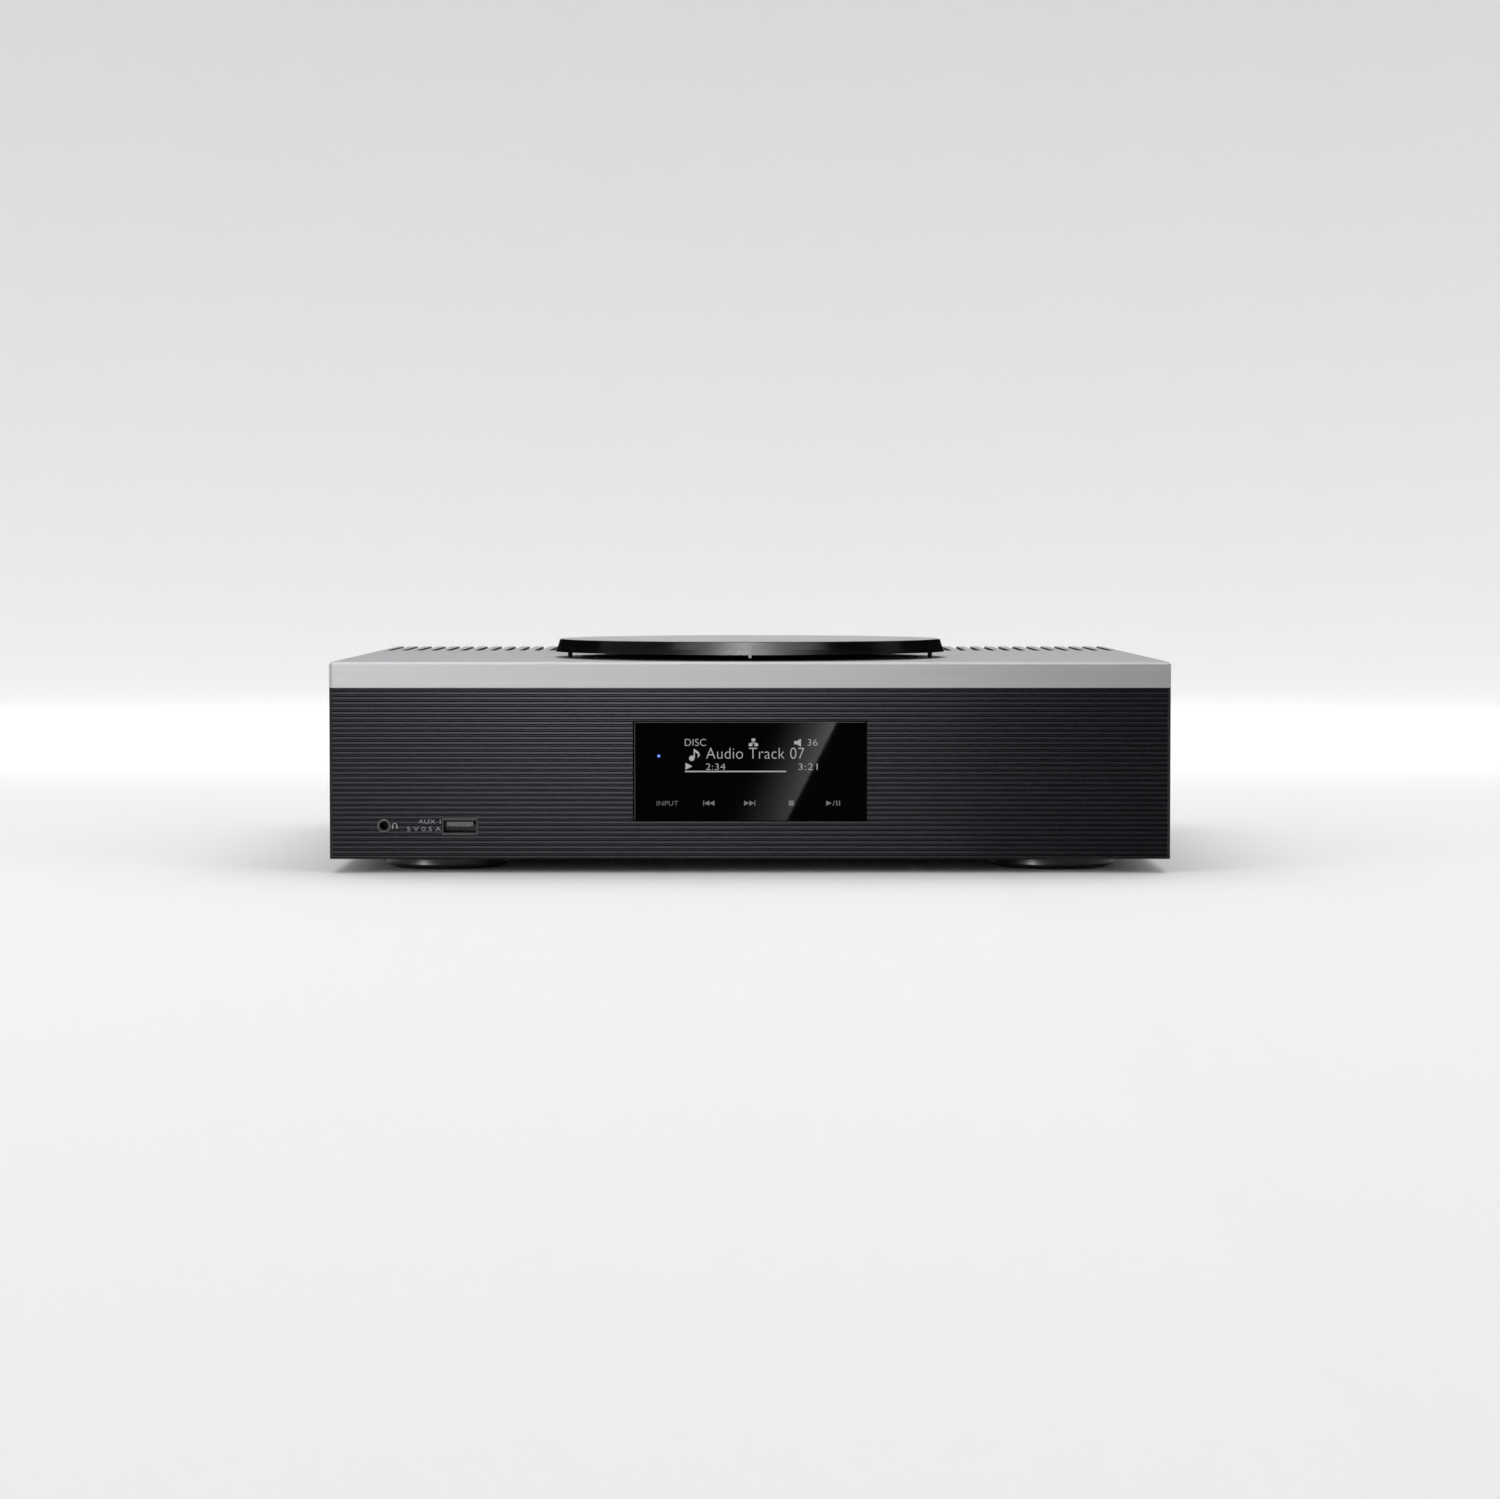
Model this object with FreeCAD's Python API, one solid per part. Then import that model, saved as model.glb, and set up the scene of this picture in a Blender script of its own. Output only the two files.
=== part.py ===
import FreeCAD, Part
import math
import os

V = FreeCAD.Vector

# ---------------------------------------------------------------- driving dimensions (mm)
BODY_W = 360.0            # width over the aluminium cover
BODY_D = 340.0            # front face to rear panel
BODY_H = 84.4             # bottom plate to top plate
FOOT_H = 6.0              # floor to the underside of the body
BAND_H = 11.0             # height of the cover's skirt, seen as the front band
REAR_REACH = 12.0         # how far the speaker posts stand behind the rear panel

COVER_T = 2.5             # top plate
SKIRT_T = 2.0             # cover skirt
SHEET_T = 1.2             # steel sheet of the chassis and the rear panel
SIDE_T = 3.0              # side panels
PANEL_T = 5.0             # front panel, over the ribs
PANEL_SET = 0.2           # rib crests lie this far behind the band
PANEL_INSET = 0.05        # black parts are this much narrower on each side
EDGE_CHAMFER = 1.5        # vertical corners
TOP_CHAMFER = 1.0         # rim of the top plate
PANEL_LOW_CHAMFER = 0.8   # lower front edge of the front panel
BOARD_T = 1.6             # circuit boards

RIB_PITCH = 2.127
RIB_DEPTH = 0.42
RIB_LAND = 0.75           # flat crest of a rib
RIB_FLOOR = 0.35          # flat floor between ribs

SLOT_PITCH = 7.13
SLOT_W = 3.2
SLOT_FRONT = 236.0        # depth at which the vent slots begin
SLOT_ROW = 25             # slots on each side of the middle
SLOT_DROP = 5.0           # how far the slots run down the rear skirt

WINDOW_W = 100.2
WINDOW_LOW = 22.1         # window's lower and upper edges above the floor
WINDOW_HIGH = 65.3
WINDOW_T = 3.0
FIT_GAP = 0.1             # gap round parts that drop into a cut-out

JACK_X = -156.6
JACK_Z = 20.3
JACK_BORE_R = 1.8
JACK_BORE_L = 14.0
USB_X = -124.2
USB_Z = 19.95

LID_DEPTH = 100.0         # lid centre behind the front face
LID_GAP = 2.65            # lid underside above the top plate
LID_BASE_T = 2.15
LID_COVER_T = 3.5
LID_R_LOW = 87.7
LID_R_HIGH = 85.6
PIVOT_X = -20.2
PIVOT_DEPTH = 175.3
SHAFT_R = 4.0
RUN_CLEAR = 0.04          # radial clearance of running fits
BUSH_FLANGE_R = 10.0
BUMPER_X = 81.0
BUMPER_DEPTH = 97.0

WELL_R = 60.6             # inside of the disc well
WELL_WALL = 1.2
WELL_LIP = 2.2            # lip above the top plate
WELL_APRON_R = 76.0       # the well's apron slopes from the lip down to this radius
WELL_APRON_EDGE = 0.4     # apron thickness at its rim
WELL_SCREW_PLACE_R = 65.4
SCOOP_X = 38.0            # the lip dips towards both sides from here
SCOOP_END_X = 62.0
SCOOP_LIP = 0.5           # lip left at the sides, where fingers reach a disc
WELL_FLOOR_Z = 82.0
DISC_Z = 84.6             # underside of a disc on the hub

ROD_R = 1.5
ROD_Y = 16.0
ROD_Z = 66.0
PICKUP_TRAVEL = 34.0
LENS_X = 24.0             # lens to spindle axis, at the start of the travel
RACK_MODULE = 0.8
GEAR_MODULE = 0.6
PINION_TEETH = 12
WHEEL_TEETH = 40
TOOTH_PLAY = 0.12         # taken off each tooth's thickness
PRESSURE_ANGLE = math.radians(20.0)

FOOT_R = 26.5
FOOT_X = 133.0
FOOT_DEPTH_FRONT = 46.0
FOOT_DEPTH_REAR = 294.0

POST_PITCH = 19.05
POST_X = -76.0            # middle of the four speaker posts
POST_Z = 46.0
POST_R = 3.0
CAP_R = 5.6
INLET_X = -150.0
INLET_Z = 30.0

# ---------------------------------------------------------------- levels worked out from them
FRONT_Y = -(BODY_D + REAR_REACH) / 2.0
REAR_Y = FRONT_Y + BODY_D
Z0 = FOOT_H
Z_TOP = FOOT_H + BODY_H
Z_BAND = Z_TOP - BAND_H
Z_PLATE = Z_TOP - COVER_T
HALF_W = BODY_W / 2.0
BLACK_W = HALF_W - PANEL_INSET
INNER_W = BLACK_W - SIDE_T
PANEL_BACK = FRONT_Y + PANEL_SET + PANEL_T
LID_Y = FRONT_Y + LID_DEPTH
LID_Z = Z_TOP + LID_GAP
LID_MID_Z = LID_Z + LID_BASE_T
LID_HIGH_Z = LID_MID_Z + LID_COVER_T
PIVOT_Y = FRONT_Y + PIVOT_DEPTH
BOARD_Z = 14.0
BOARD_TOP = BOARD_Z + BOARD_T
RACK_PITCH_Y = 21.7
FEED_X = 40.0
FEED_Y = RACK_PITCH_Y + RACK_MODULE * PINION_TEETH / 2.0
MOTOR_PITCH_R = GEAR_MODULE * PINION_TEETH / 2.0
WHEEL_PITCH_R = GEAR_MODULE * WHEEL_TEETH / 2.0
FEED_MOTOR_Y = FEED_Y + WHEEL_PITCH_R + MOTOR_PITCH_R

MAIN_BOARD = (-20.0, 165.0, FRONT_Y + 175.0, FRONT_Y + 330.0)
POWER_BOARD = (-170.0, -32.0, FRONT_Y + 190.0, FRONT_Y + 330.0)
IO_BOARD = (-168.0, -108.0, FRONT_Y + 11.0, FRONT_Y + 36.0)
IO_BOARD_Z = 12.0

SCREW_R = 1.5
SCREW_HEAD_R = 2.8
SCREW_HEAD_H = 1.6


# ---------------------------------------------------------------- helpers
def box(x0, x1, y0, y1, z0, z1):
    return Part.makeBox(x1 - x0, y1 - y0, z1 - z0, V(x0, y0, z0))


def rod(x, y, z, radius, length, axis=(0, 0, 1)):
    return Part.makeCylinder(radius, length, V(x, y, z), V(*axis))


def ring(x, y, z, outer, inner, length, axis=(0, 0, 1)):
    return rod(x, y, z, outer, length, axis).cut(rod(x, y, z, inner, length, axis))


def cone(x, y, z, low, high, length):
    return Part.makeCone(low, high, length, V(x, y, z), V(0, 0, 1))


def join(shapes):
    first = shapes[0]
    if len(shapes) == 1:
        return first
    return first.fuse(shapes[1:]).removeSplitter()


def plate(points, low, high):
    """Closed outline in X and Y, raised from low to high."""
    corners = [V(x, y, low) for x, y in points]
    face = Part.Face(Part.makePolygon(corners + corners[:1]))
    return face.extrude(V(0, 0, high - low))


def chamfer(shape, size, wanted):
    edges = [edge for edge in shape.Edges if wanted(edge)]
    return shape.makeChamfer(size, edges)


def is_vertical(edge):
    first, last = edge.Vertexes[0].Point, edge.Vertexes[-1].Point
    return abs(first.x - last.x) < 1e-6 and abs(first.y - last.y) < 1e-6


def is_at_height(edge, z):
    return all(abs(vertex.Z - z) < 1e-6 for vertex in edge.Vertexes)


def screw(x, y, z, axis, shank=6.0, radius=SCREW_R, head_r=SCREW_HEAD_R, head_h=SCREW_HEAD_H):
    """Pan-head screw: its head's seat is at the point, and axis runs from the head to the tip."""
    way = V(*axis)
    seat = V(x, y, z)
    head = Part.makeCylinder(head_r, head_h, seat - way * head_h, way)
    body = Part.makeCylinder(radius, shank, seat, way)
    recess_depth = head_h * 0.6
    recess = Part.makeBox(head_r, 0.7, recess_depth, V(-head_r / 2.0, -0.35, 0))
    recess = recess.fuse(Part.makeBox(0.7, head_r, recess_depth, V(-0.35, -head_r / 2.0, 0)))
    turn = FreeCAD.Rotation(V(0, 0, 1), way)
    recess.Placement = FreeCAD.Placement(seat - way * head_h, turn)
    return head.fuse(body).cut(recess).removeSplitter()


def gear_outline(module, teeth, addendum, dedendum, turn=0.0):
    """Involute gear outline with one tooth centred on the angle turn."""
    pitch_r = module * teeth / 2.0
    base_r = pitch_r * math.cos(PRESSURE_ANGLE)
    tip_r = pitch_r + addendum
    root_r = pitch_r - dedendum
    half_thick = (math.pi * module / 2.0 - TOOTH_PLAY) / (2.0 * pitch_r)
    involute = math.tan(PRESSURE_ANGLE) - PRESSURE_ANGLE
    steps = 5
    flank = [(root_r, half_thick + involute)]
    for step in range(steps + 1):
        radius = max(base_r, root_r) + (tip_r - max(base_r, root_r)) * step / steps
        angle = math.acos(min(1.0, base_r / radius))
        flank.append((radius, half_thick + involute - (math.tan(angle) - angle)))
    points = []
    for tooth in range(teeth):
        middle = turn + 2.0 * math.pi * tooth / teeth
        for radius, half in flank:
            points.append((radius * math.cos(middle - half), radius * math.sin(middle - half)))
        for radius, half in reversed(flank):
            points.append((radius * math.cos(middle + half), radius * math.sin(middle + half)))
    return points


def moved(points, x, y):
    return [(px + x, py + y) for px, py in points]


def save(name, shape):
    solids = shape.Solids
    if len(solids) == 1:
        shape = solids[0]
    else:
        shape = Part.makeCompound(solids)
    if not shape.isValid():
        print("not valid:", name)
    shape.exportStep("parts/" + name + ".step")


# ---------------------------------------------------------------- places that several parts share
def foot_places():
    for x in (-FOOT_X, FOOT_X):
        for depth in (FOOT_DEPTH_FRONT, FOOT_DEPTH_REAR):
            yield x, FRONT_Y + depth


def panel_screw_places():
    for x in (-171.0, -70.0, 70.0, 171.0):
        for z in (12.5, 73.0):
            yield x, z


SIDE_SCREW_DEPTHS = (40.0, 170.0, 300.0)
SIDE_SCREW_Z = 15.0
REAR_SCREW_X = (-165.0, -22.0, 165.0)
REAR_SCREW_Z = 10.5
COVER_SCREW_X = (-150.0, 0.0, 150.0)
COVER_SCREW_Z = 82.2


def board_places():
    """Stand-off axes: x, y, top of the stand-off."""
    for x0, x1, y0, y1 in (MAIN_BOARD, POWER_BOARD):
        for x in (x0 + 6.0, x1 - 6.0):
            for y in (y0 + 6.0, y1 - 32.0):
                yield x, y, BOARD_Z
    for x in (IO_BOARD[0] + 5.0, IO_BOARD[1] - 5.0):
        yield x, IO_BOARD[3] - 5.0, IO_BOARD_Z


def post_places():
    for number in range(4):
        yield number + 1, POST_X + (number - 1.5) * POST_PITCH


def damper_places():
    for x in (-40.0, 48.0):
        for y in (-28.0, 28.0):
            yield x, LID_Y + y


def well_screw_places():
    for degrees in (60.0, 120.0, 240.0, 300.0):
        angle = math.radians(degrees)
        yield WELL_SCREW_PLACE_R * math.cos(angle), LID_Y + WELL_SCREW_PLACE_R * math.sin(angle)


PHONO_PLACES = ((24.0, 28.0), (24.0, 42.0), (42.0, 28.0), (42.0, 42.0))
OPTICAL_X = 66.0
LAN_X = 96.0
AERIAL_X = 134.0
AERIAL_Z = 36.0
AERIAL_R = 4.76            # barrel of a push-on aerial connector
AERIAL_L = 9.0
AERIAL_COLLAR_R = 6.5
AERIAL_COLLAR_T = 1.0
WELL_SCREW_R = 1.0
WELL_SCREW_BITE = 1.0     # how far the well's screws reach into its apron
SENSOR_X = -54.4
SENSOR_Y = LID_Y - 54.4


# ---------------------------------------------------------------- case
def top_cover():
    outer = box(-HALF_W, HALF_W, FRONT_Y, REAR_Y, Z_BAND, Z_TOP)
    outer = chamfer(outer, EDGE_CHAMFER, is_vertical)
    outer = chamfer(outer, TOP_CHAMFER, lambda edge: is_at_height(edge, Z_TOP))
    inner = box(-HALF_W + SKIRT_T, HALF_W - SKIRT_T, FRONT_Y + SKIRT_T, REAR_Y - SKIRT_T,
                Z_BAND, Z_PLATE)
    tools = [inner, rod(0, LID_Y, Z_PLATE, WELL_R + WELL_WALL + FIT_GAP, COVER_T),
             rod(PIVOT_X, PIVOT_Y, Z_PLATE, 7.0, COVER_T)]
    for side in (-1, 1):
        for number in range(SLOT_ROW):
            x = side * SLOT_PITCH * (number + 0.5)
            low = Z_TOP - SLOT_DROP
            start = FRONT_Y + SLOT_FRONT + SLOT_W / 2.0
            slot = box(x - SLOT_W / 2.0, x + SLOT_W / 2.0, start, REAR_Y + 1, low, Z_TOP + 1)
            tools.append(slot.fuse(rod(x, start, low, SLOT_W / 2.0, SLOT_DROP + 1)))
    for x in COVER_SCREW_X:
        tools.append(rod(x, REAR_Y - SKIRT_T, COVER_SCREW_Z, SCREW_R, SKIRT_T, (0, 1, 0)))
    for x, y in well_screw_places():
        tools.append(rod(x, y, Z_PLATE, WELL_SCREW_R, COVER_T))
    return outer.cut(tools)


def rib_grooves():
    """Grooves between the ribs, cut right across the front panel."""
    crest_y = FRONT_Y + PANEL_SET
    slope = (RIB_PITCH - RIB_LAND - RIB_FLOOR) / 2.0
    count = int((Z_BAND - Z0) / RIB_PITCH)
    tools = []
    for number in range(count):
        middle = Z_BAND - RIB_PITCH * (number + 0.6)
        if middle - RIB_FLOOR / 2.0 - slope < Z0 + 0.3:
            continue
        half_floor = RIB_FLOOR / 2.0
        corners = [V(-HALF_W, crest_y, middle - half_floor - slope),
                   V(-HALF_W, crest_y + RIB_DEPTH, middle - half_floor),
                   V(-HALF_W, crest_y + RIB_DEPTH, middle + half_floor),
                   V(-HALF_W, crest_y, middle + half_floor + slope)]
        face = Part.Face(Part.makePolygon(corners + corners[:1]))
        tools.append(face.extrude(V(BODY_W, 0, 0)))
    return tools


def front_panel():
    front = FRONT_Y + PANEL_SET
    panel = box(-BLACK_W, BLACK_W, front, PANEL_BACK, Z0, Z_BAND)
    panel = chamfer(panel, EDGE_CHAMFER, lambda edge: is_vertical(edge)
                    and edge.Vertexes[0].Y < front + 1)
    panel = chamfer(panel, PANEL_LOW_CHAMFER, lambda edge: is_at_height(edge, Z0)
                    and all(vertex.Y < front + 0.1 for vertex in edge.Vertexes))
    half = WINDOW_W / 2.0
    ledge = 3.0
    tools = rib_grooves()
    tools.append(box(-half, half, front - 1, front + WINDOW_T, WINDOW_LOW, WINDOW_HIGH))
    tools.append(box(-half + ledge, half - ledge, front, PANEL_BACK + 1,
                     WINDOW_LOW + ledge, WINDOW_HIGH - ledge))
    tools.append(rod(JACK_X, FRONT_Y, JACK_Z, 3.1, 7.0, (0, 1, 0)))
    tools.append(box(USB_X - 7.7, USB_X + 7.7, front - 1, PANEL_BACK + 1, USB_Z - 3.75, USB_Z + 3.75))
    panel = panel.cut(tools)
    bosses = [rod(x, PANEL_BACK, z, 3.5, 4.0, (0, 1, 0)) for x, z in panel_screw_places()]
    panel = join([panel] + bosses)
    return panel.cut([rod(x, PANEL_BACK - 2.0, z, SCREW_R, 6.0, (0, 1, 0))
                      for x, z in panel_screw_places()])


def side_panel(side):
    inner, outer = side * INNER_W, side * BLACK_W
    panel = box(min(inner, outer), max(inner, outer), PANEL_BACK, REAR_Y, Z0, Z_BAND)
    panel = chamfer(panel, EDGE_CHAMFER, lambda edge: is_vertical(edge)
                    and edge.Vertexes[0].Y > REAR_Y - 1 and abs(edge.Vertexes[0].X) > INNER_W + 1)
    tools = []
    for depth in SIDE_SCREW_DEPTHS:
        y = FRONT_Y + depth
        tools.append(rod(inner, y, SIDE_SCREW_Z, SCREW_R, SIDE_T, (side, 0, 0)))
        tools.append(rod(outer, y, SIDE_SCREW_Z, SCREW_HEAD_R, 1.8, (-side, 0, 0)))
    return panel.cut(tools)


UPRIGHT_Y = PANEL_BACK + 4.0


def bottom_chassis():
    floor = box(-INNER_W, INNER_W, PANEL_BACK, REAR_Y - SHEET_T, Z0, Z0 + SHEET_T)
    upright = box(-INNER_W + 2.0, INNER_W - 2.0, UPRIGHT_Y, UPRIGHT_Y + SHEET_T, Z0, Z_BAND - 0.5)
    rear_flange = box(-INNER_W + 2.0, INNER_W - 2.0, REAR_Y - 2 * SHEET_T, REAR_Y - SHEET_T, Z0, 13.5)
    sides = []
    for side in (-1, 1):
        x0, x1 = sorted((side * INNER_W, side * (INNER_W - SHEET_T)))
        sides.append(box(x0, x1, PANEL_BACK + 7.0, REAR_Y - 9.0, Z0, 22.0))
    tray = join([floor, upright, rear_flange] + sides)
    tools = [box(-47.5, 47.5, UPRIGHT_Y - 1, UPRIGHT_Y + 3, WINDOW_LOW + 1, WINDOW_HIGH - 1),
             box(-166.0, -109.0, UPRIGHT_Y - 1, UPRIGHT_Y + 3, 16.0, 29.0)]
    for x, z in panel_screw_places():
        tools.append(rod(x, UPRIGHT_Y, z, SCREW_R, SHEET_T, (0, 1, 0)))
    for x, y in foot_places():
        tools.append(rod(x, y, Z0, SCREW_R, SHEET_T))
    for x in REAR_SCREW_X:
        tools.append(rod(x, REAR_Y - 2 * SHEET_T, REAR_SCREW_Z, SCREW_R, SHEET_T, (0, 1, 0)))
    for depth in SIDE_SCREW_DEPTHS:
        y = FRONT_Y + depth
        tools.append(rod(-INNER_W, y, SIDE_SCREW_Z, SCREW_R, 2 * INNER_W, (1, 0, 0)))
    for row in range(2):
        for number in range(9):
            x = -150.0 + 12.0 * number
            y = FRONT_Y + 90.0 + 50.0 * row
            tools.append(box(x, x + 3.0, y, y + 34.0, Z0, Z0 + SHEET_T))
    return tray.cut(tools)


def rear_panel():
    front = REAR_Y - SHEET_T
    panel = box(-INNER_W, INNER_W, front, REAR_Y, Z0, Z_BAND)
    shelf = box(-INNER_W + 3.0, INNER_W - 3.0, REAR_Y - SKIRT_T - SHEET_T, REAR_Y, Z_BAND - SHEET_T, Z_BAND)
    flange = box(-INNER_W + 3.0, INNER_W - 3.0, REAR_Y - SKIRT_T - SHEET_T, REAR_Y - SKIRT_T,
                 Z_BAND - SHEET_T, Z_TOP - SLOT_DROP)
    panel = join([panel, shelf, flange])
    deep = 2 * SHEET_T
    tools = [box(INLET_X - 11.0, INLET_X + 11.0, front, front + deep, INLET_Z - 7.0, INLET_Z + 7.0),
             box(LAN_X - 8.1, LAN_X + 8.1, front, front + deep, BOARD_TOP, BOARD_TOP + 13.6),
             box(OPTICAL_X - 5.0, OPTICAL_X + 5.0, front, front + deep, BOARD_TOP, BOARD_TOP + 10.2),
             rod(AERIAL_X, front, AERIAL_Z, AERIAL_COLLAR_R + 0.1, deep, (0, 1, 0))]
    for x, z in PHONO_PLACES:
        tools.append(rod(x, front, z, 4.2, deep, (0, 1, 0)))
    for number, x in post_places():
        tools.append(rod(x, front, POST_Z, POST_R, deep, (0, 1, 0)))
    for x in REAR_SCREW_X:
        tools.append(rod(x, front, REAR_SCREW_Z, SCREW_R, deep, (0, 1, 0)))
    for x in COVER_SCREW_X:
        tools.append(rod(x, REAR_Y - 4.0, COVER_SCREW_Z, SCREW_R, 4.0, (0, 1, 0)))
    for side in (-1, 1):
        tools.append(rod(INLET_X + side * 16.0, front, INLET_Z, SCREW_R, deep, (0, 1, 0)))
    return panel.cut(tools)


def case_screws():
    group = [screw(x, UPRIGHT_Y + SHEET_T, z, (0, -1, 0), 6.0) for x, z in panel_screw_places()]
    group += [screw(x, y, 3.0, (0, 0, 1), 6.5) for x, y in foot_places()]
    group += [screw(x, REAR_Y, COVER_SCREW_Z, (0, -1, 0), 6.0) for x in COVER_SCREW_X]
    group += [screw(x, REAR_Y, REAR_SCREW_Z, (0, -1, 0), 5.0) for x in REAR_SCREW_X]
    for side in (-1, 1):
        for depth in SIDE_SCREW_DEPTHS:
            group.append(screw(side * (BLACK_W - 1.8), FRONT_Y + depth, SIDE_SCREW_Z, (-side, 0, 0), 5.0))
        group.append(screw(INLET_X + side * 16.0, REAR_Y + 2.0, INLET_Z, (0, -1, 0), 6.0))
    return Part.makeCompound(group)


def feet():
    group = []
    for x, y in foot_places():
        foot = join([rod(x, y, 2.0, FOOT_R, FOOT_H - 2.0), cone(x, y, 0.8, FOOT_R - 1.2, FOOT_R, 1.2)])
        groove = ring(x, y, 0.8, 23.0, 16.0, 1.0)
        recess = rod(x, y, 0.0, 6.0, 3.0)
        group.append(foot.cut([groove, recess, rod(x, y, 0, SCREW_R, FOOT_H)]))
    return Part.makeCompound(group)


def foot_pads():
    return Part.makeCompound([ring(x, y, 0.0, 23.0, 16.0, 1.8) for x, y in foot_places()])


# ---------------------------------------------------------------- front: display and sockets
WINDOW_BACK = FRONT_Y + PANEL_SET + WINDOW_T


def display_window():
    half = WINDOW_W / 2.0 - FIT_GAP
    front = FRONT_Y + PANEL_SET
    pane = box(-half, half, front, WINDOW_BACK, WINDOW_LOW + FIT_GAP, WINDOW_HIGH - FIT_GAP)
    return chamfer(pane, 0.3, lambda edge: all(abs(v.Y - front) < 1e-6 for v in edge.Vertexes))


LED_X = -39.0
LED_Z = 50.2


def window_gasket():
    outer = box(-46.9, 46.9, WINDOW_BACK, WINDOW_BACK + 2.0, 35.0, 62.1)
    hole = box(-36.0, 42.0, WINDOW_BACK, WINDOW_BACK + 2.0, 37.0, 60.0)
    return outer.cut([hole, rod(LED_X, WINDOW_BACK, LED_Z, 1.5, 2.0, (0, 1, 0))])


def display_module():
    glass = box(-35.5, 41.5, WINDOW_BACK + 0.4, WINDOW_BACK + 2.0, 37.5, 59.5)
    board = box(-45.0, 45.0, WINDOW_BACK + 2.0, WINDOW_BACK + 3.6, 26.0, 62.0)
    socket = box(10.0, 25.0, WINDOW_BACK + 3.6, WINDOW_BACK + 6.6, 27.0, 32.0)
    return join([glass, board, socket])


def touch_board():
    return box(-46.5, 46.5, WINDOW_BACK, WINDOW_BACK + BOARD_T, 25.5, 34.8)


def standby_led():
    return rod(LED_X, WINDOW_BACK, LED_Z, 1.5, 2.0, (0, 1, 0))


def headphone_jack():
    body = box(JACK_X - 6.0, JACK_X + 6.0, PANEL_BACK + 0.2, PANEL_BACK + 14.0,
               IO_BOARD_Z + BOARD_T, 27.0)
    notch = box(JACK_X - 6.0, JACK_X + 6.0, PANEL_BACK, IO_BOARD[2], IO_BOARD_Z, 16.6)
    body = body.cut(notch)
    barrel = rod(JACK_X, FRONT_Y + 0.1, JACK_Z, 3.1, 6.0, (0, 1, 0))
    bore = rod(JACK_X, FRONT_Y - 1, JACK_Z, JACK_BORE_R, JACK_BORE_L + 1.1, (0, 1, 0))
    return join([body, barrel]).cut(bore)


def usb_socket():
    front = FRONT_Y + 0.5
    shell = box(USB_X - 7.6, USB_X + 7.6, front, front + 15.5, USB_Z - 3.65, USB_Z + 3.65)
    cavity = box(USB_X - 7.1, USB_X + 7.1, front, front + 14.5, USB_Z - 2.7, USB_Z + 2.7)
    leg = box(USB_X - 6.0, USB_X + 6.0, IO_BOARD[2] + 0.5, front + 15.5, IO_BOARD_Z + BOARD_T, USB_Z - 3.65)
    return join([shell.cut(cavity), leg])


def usb_tongue():
    return box(USB_X - 5.7, USB_X + 5.7, FRONT_Y + 1.8, FRONT_Y + 15.0, USB_Z + 0.1, USB_Z + 2.0)


def front_io_board():
    x0, x1, y0, y1 = IO_BOARD
    board = box(x0, x1, y0, y1, IO_BOARD_Z, IO_BOARD_Z + BOARD_T)
    holes = [rod(x, y, 0, SCREW_R, 20.0) for x, y, z in board_places() if z == IO_BOARD_Z]
    return board.cut(holes)


# ---------------------------------------------------------------- lid
def lid_radius(z):
    return LID_R_LOW - (LID_R_LOW - LID_R_HIGH) * (z - LID_Z) / (LID_HIGH_Z - LID_Z)


MARK_W = 1.3              # upright finger mark on the lid's rim
MARK_LOW_Z = LID_Z - 1.2
MARK_HIGH_Z = LID_Z + 4.4
MARK_PROUD = 0.35


def lid_mark_block():
    return box(-MARK_W / 2.0, MARK_W / 2.0, LID_Y - LID_R_LOW - 1.0, LID_Y - LID_R_HIGH + 1.4,
               MARK_LOW_Z, MARK_HIGH_Z)


def lid_cover():
    disc = cone(0, LID_Y, LID_MID_Z, lid_radius(LID_MID_Z) - 0.15, LID_R_HIGH, LID_COVER_T)
    disc = chamfer(disc, 0.25, lambda edge: is_at_height(edge, LID_HIGH_Z))
    return disc.cut(lid_mark_block())


MAGNET_R = 3.0
MAGNET_T = 1.5
SHAFT_HEAD_R = 8.0
SHAFT_HEAD_T = 1.2


def lid_base():
    disc = cone(0, LID_Y, LID_Z, LID_R_LOW, lid_radius(LID_MID_Z), LID_BASE_T)
    return disc.cut([lid_mark_block(), rod(SENSOR_X, SENSOR_Y, LID_Z, MAGNET_R, MAGNET_T),
                     rod(PIVOT_X, PIVOT_Y, LID_Z, SHAFT_HEAD_R, SHAFT_HEAD_T)])


def lid_finger_mark():
    skin = cone(0, LID_Y, MARK_LOW_Z, lid_radius(MARK_LOW_Z) + MARK_PROUD,
                lid_radius(MARK_HIGH_Z) + MARK_PROUD, MARK_HIGH_Z - MARK_LOW_Z)
    return skin.common(lid_mark_block())


CLIP_T = 0.8
BUSH_LOW = 78.4
CLIP_Z = BUSH_LOW - 0.4 - CLIP_T
CLIP_GROOVE_R = 3.3


def lid_shaft():
    head = rod(PIVOT_X, PIVOT_Y, LID_Z, SHAFT_HEAD_R, SHAFT_HEAD_T)
    shaft = rod(PIVOT_X, PIVOT_Y, CLIP_Z - 1.6, SHAFT_R, LID_Z + SHAFT_HEAD_T - CLIP_Z + 1.6)
    groove = ring(PIVOT_X, PIVOT_Y, CLIP_Z, SHAFT_R + 1, CLIP_GROOVE_R, CLIP_T)
    return join([head, shaft]).cut(groove)


def lid_clip():
    clip = ring(PIVOT_X, PIVOT_Y, CLIP_Z, 6.6, CLIP_GROOVE_R, CLIP_T)
    return clip.cut(box(PIVOT_X - 1.8, PIVOT_X + 1.8, PIVOT_Y, PIVOT_Y + 8.0, CLIP_Z, CLIP_Z + CLIP_T))


def lid_magnet():
    return rod(SENSOR_X, SENSOR_Y, LID_Z, MAGNET_R, MAGNET_T)


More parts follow.
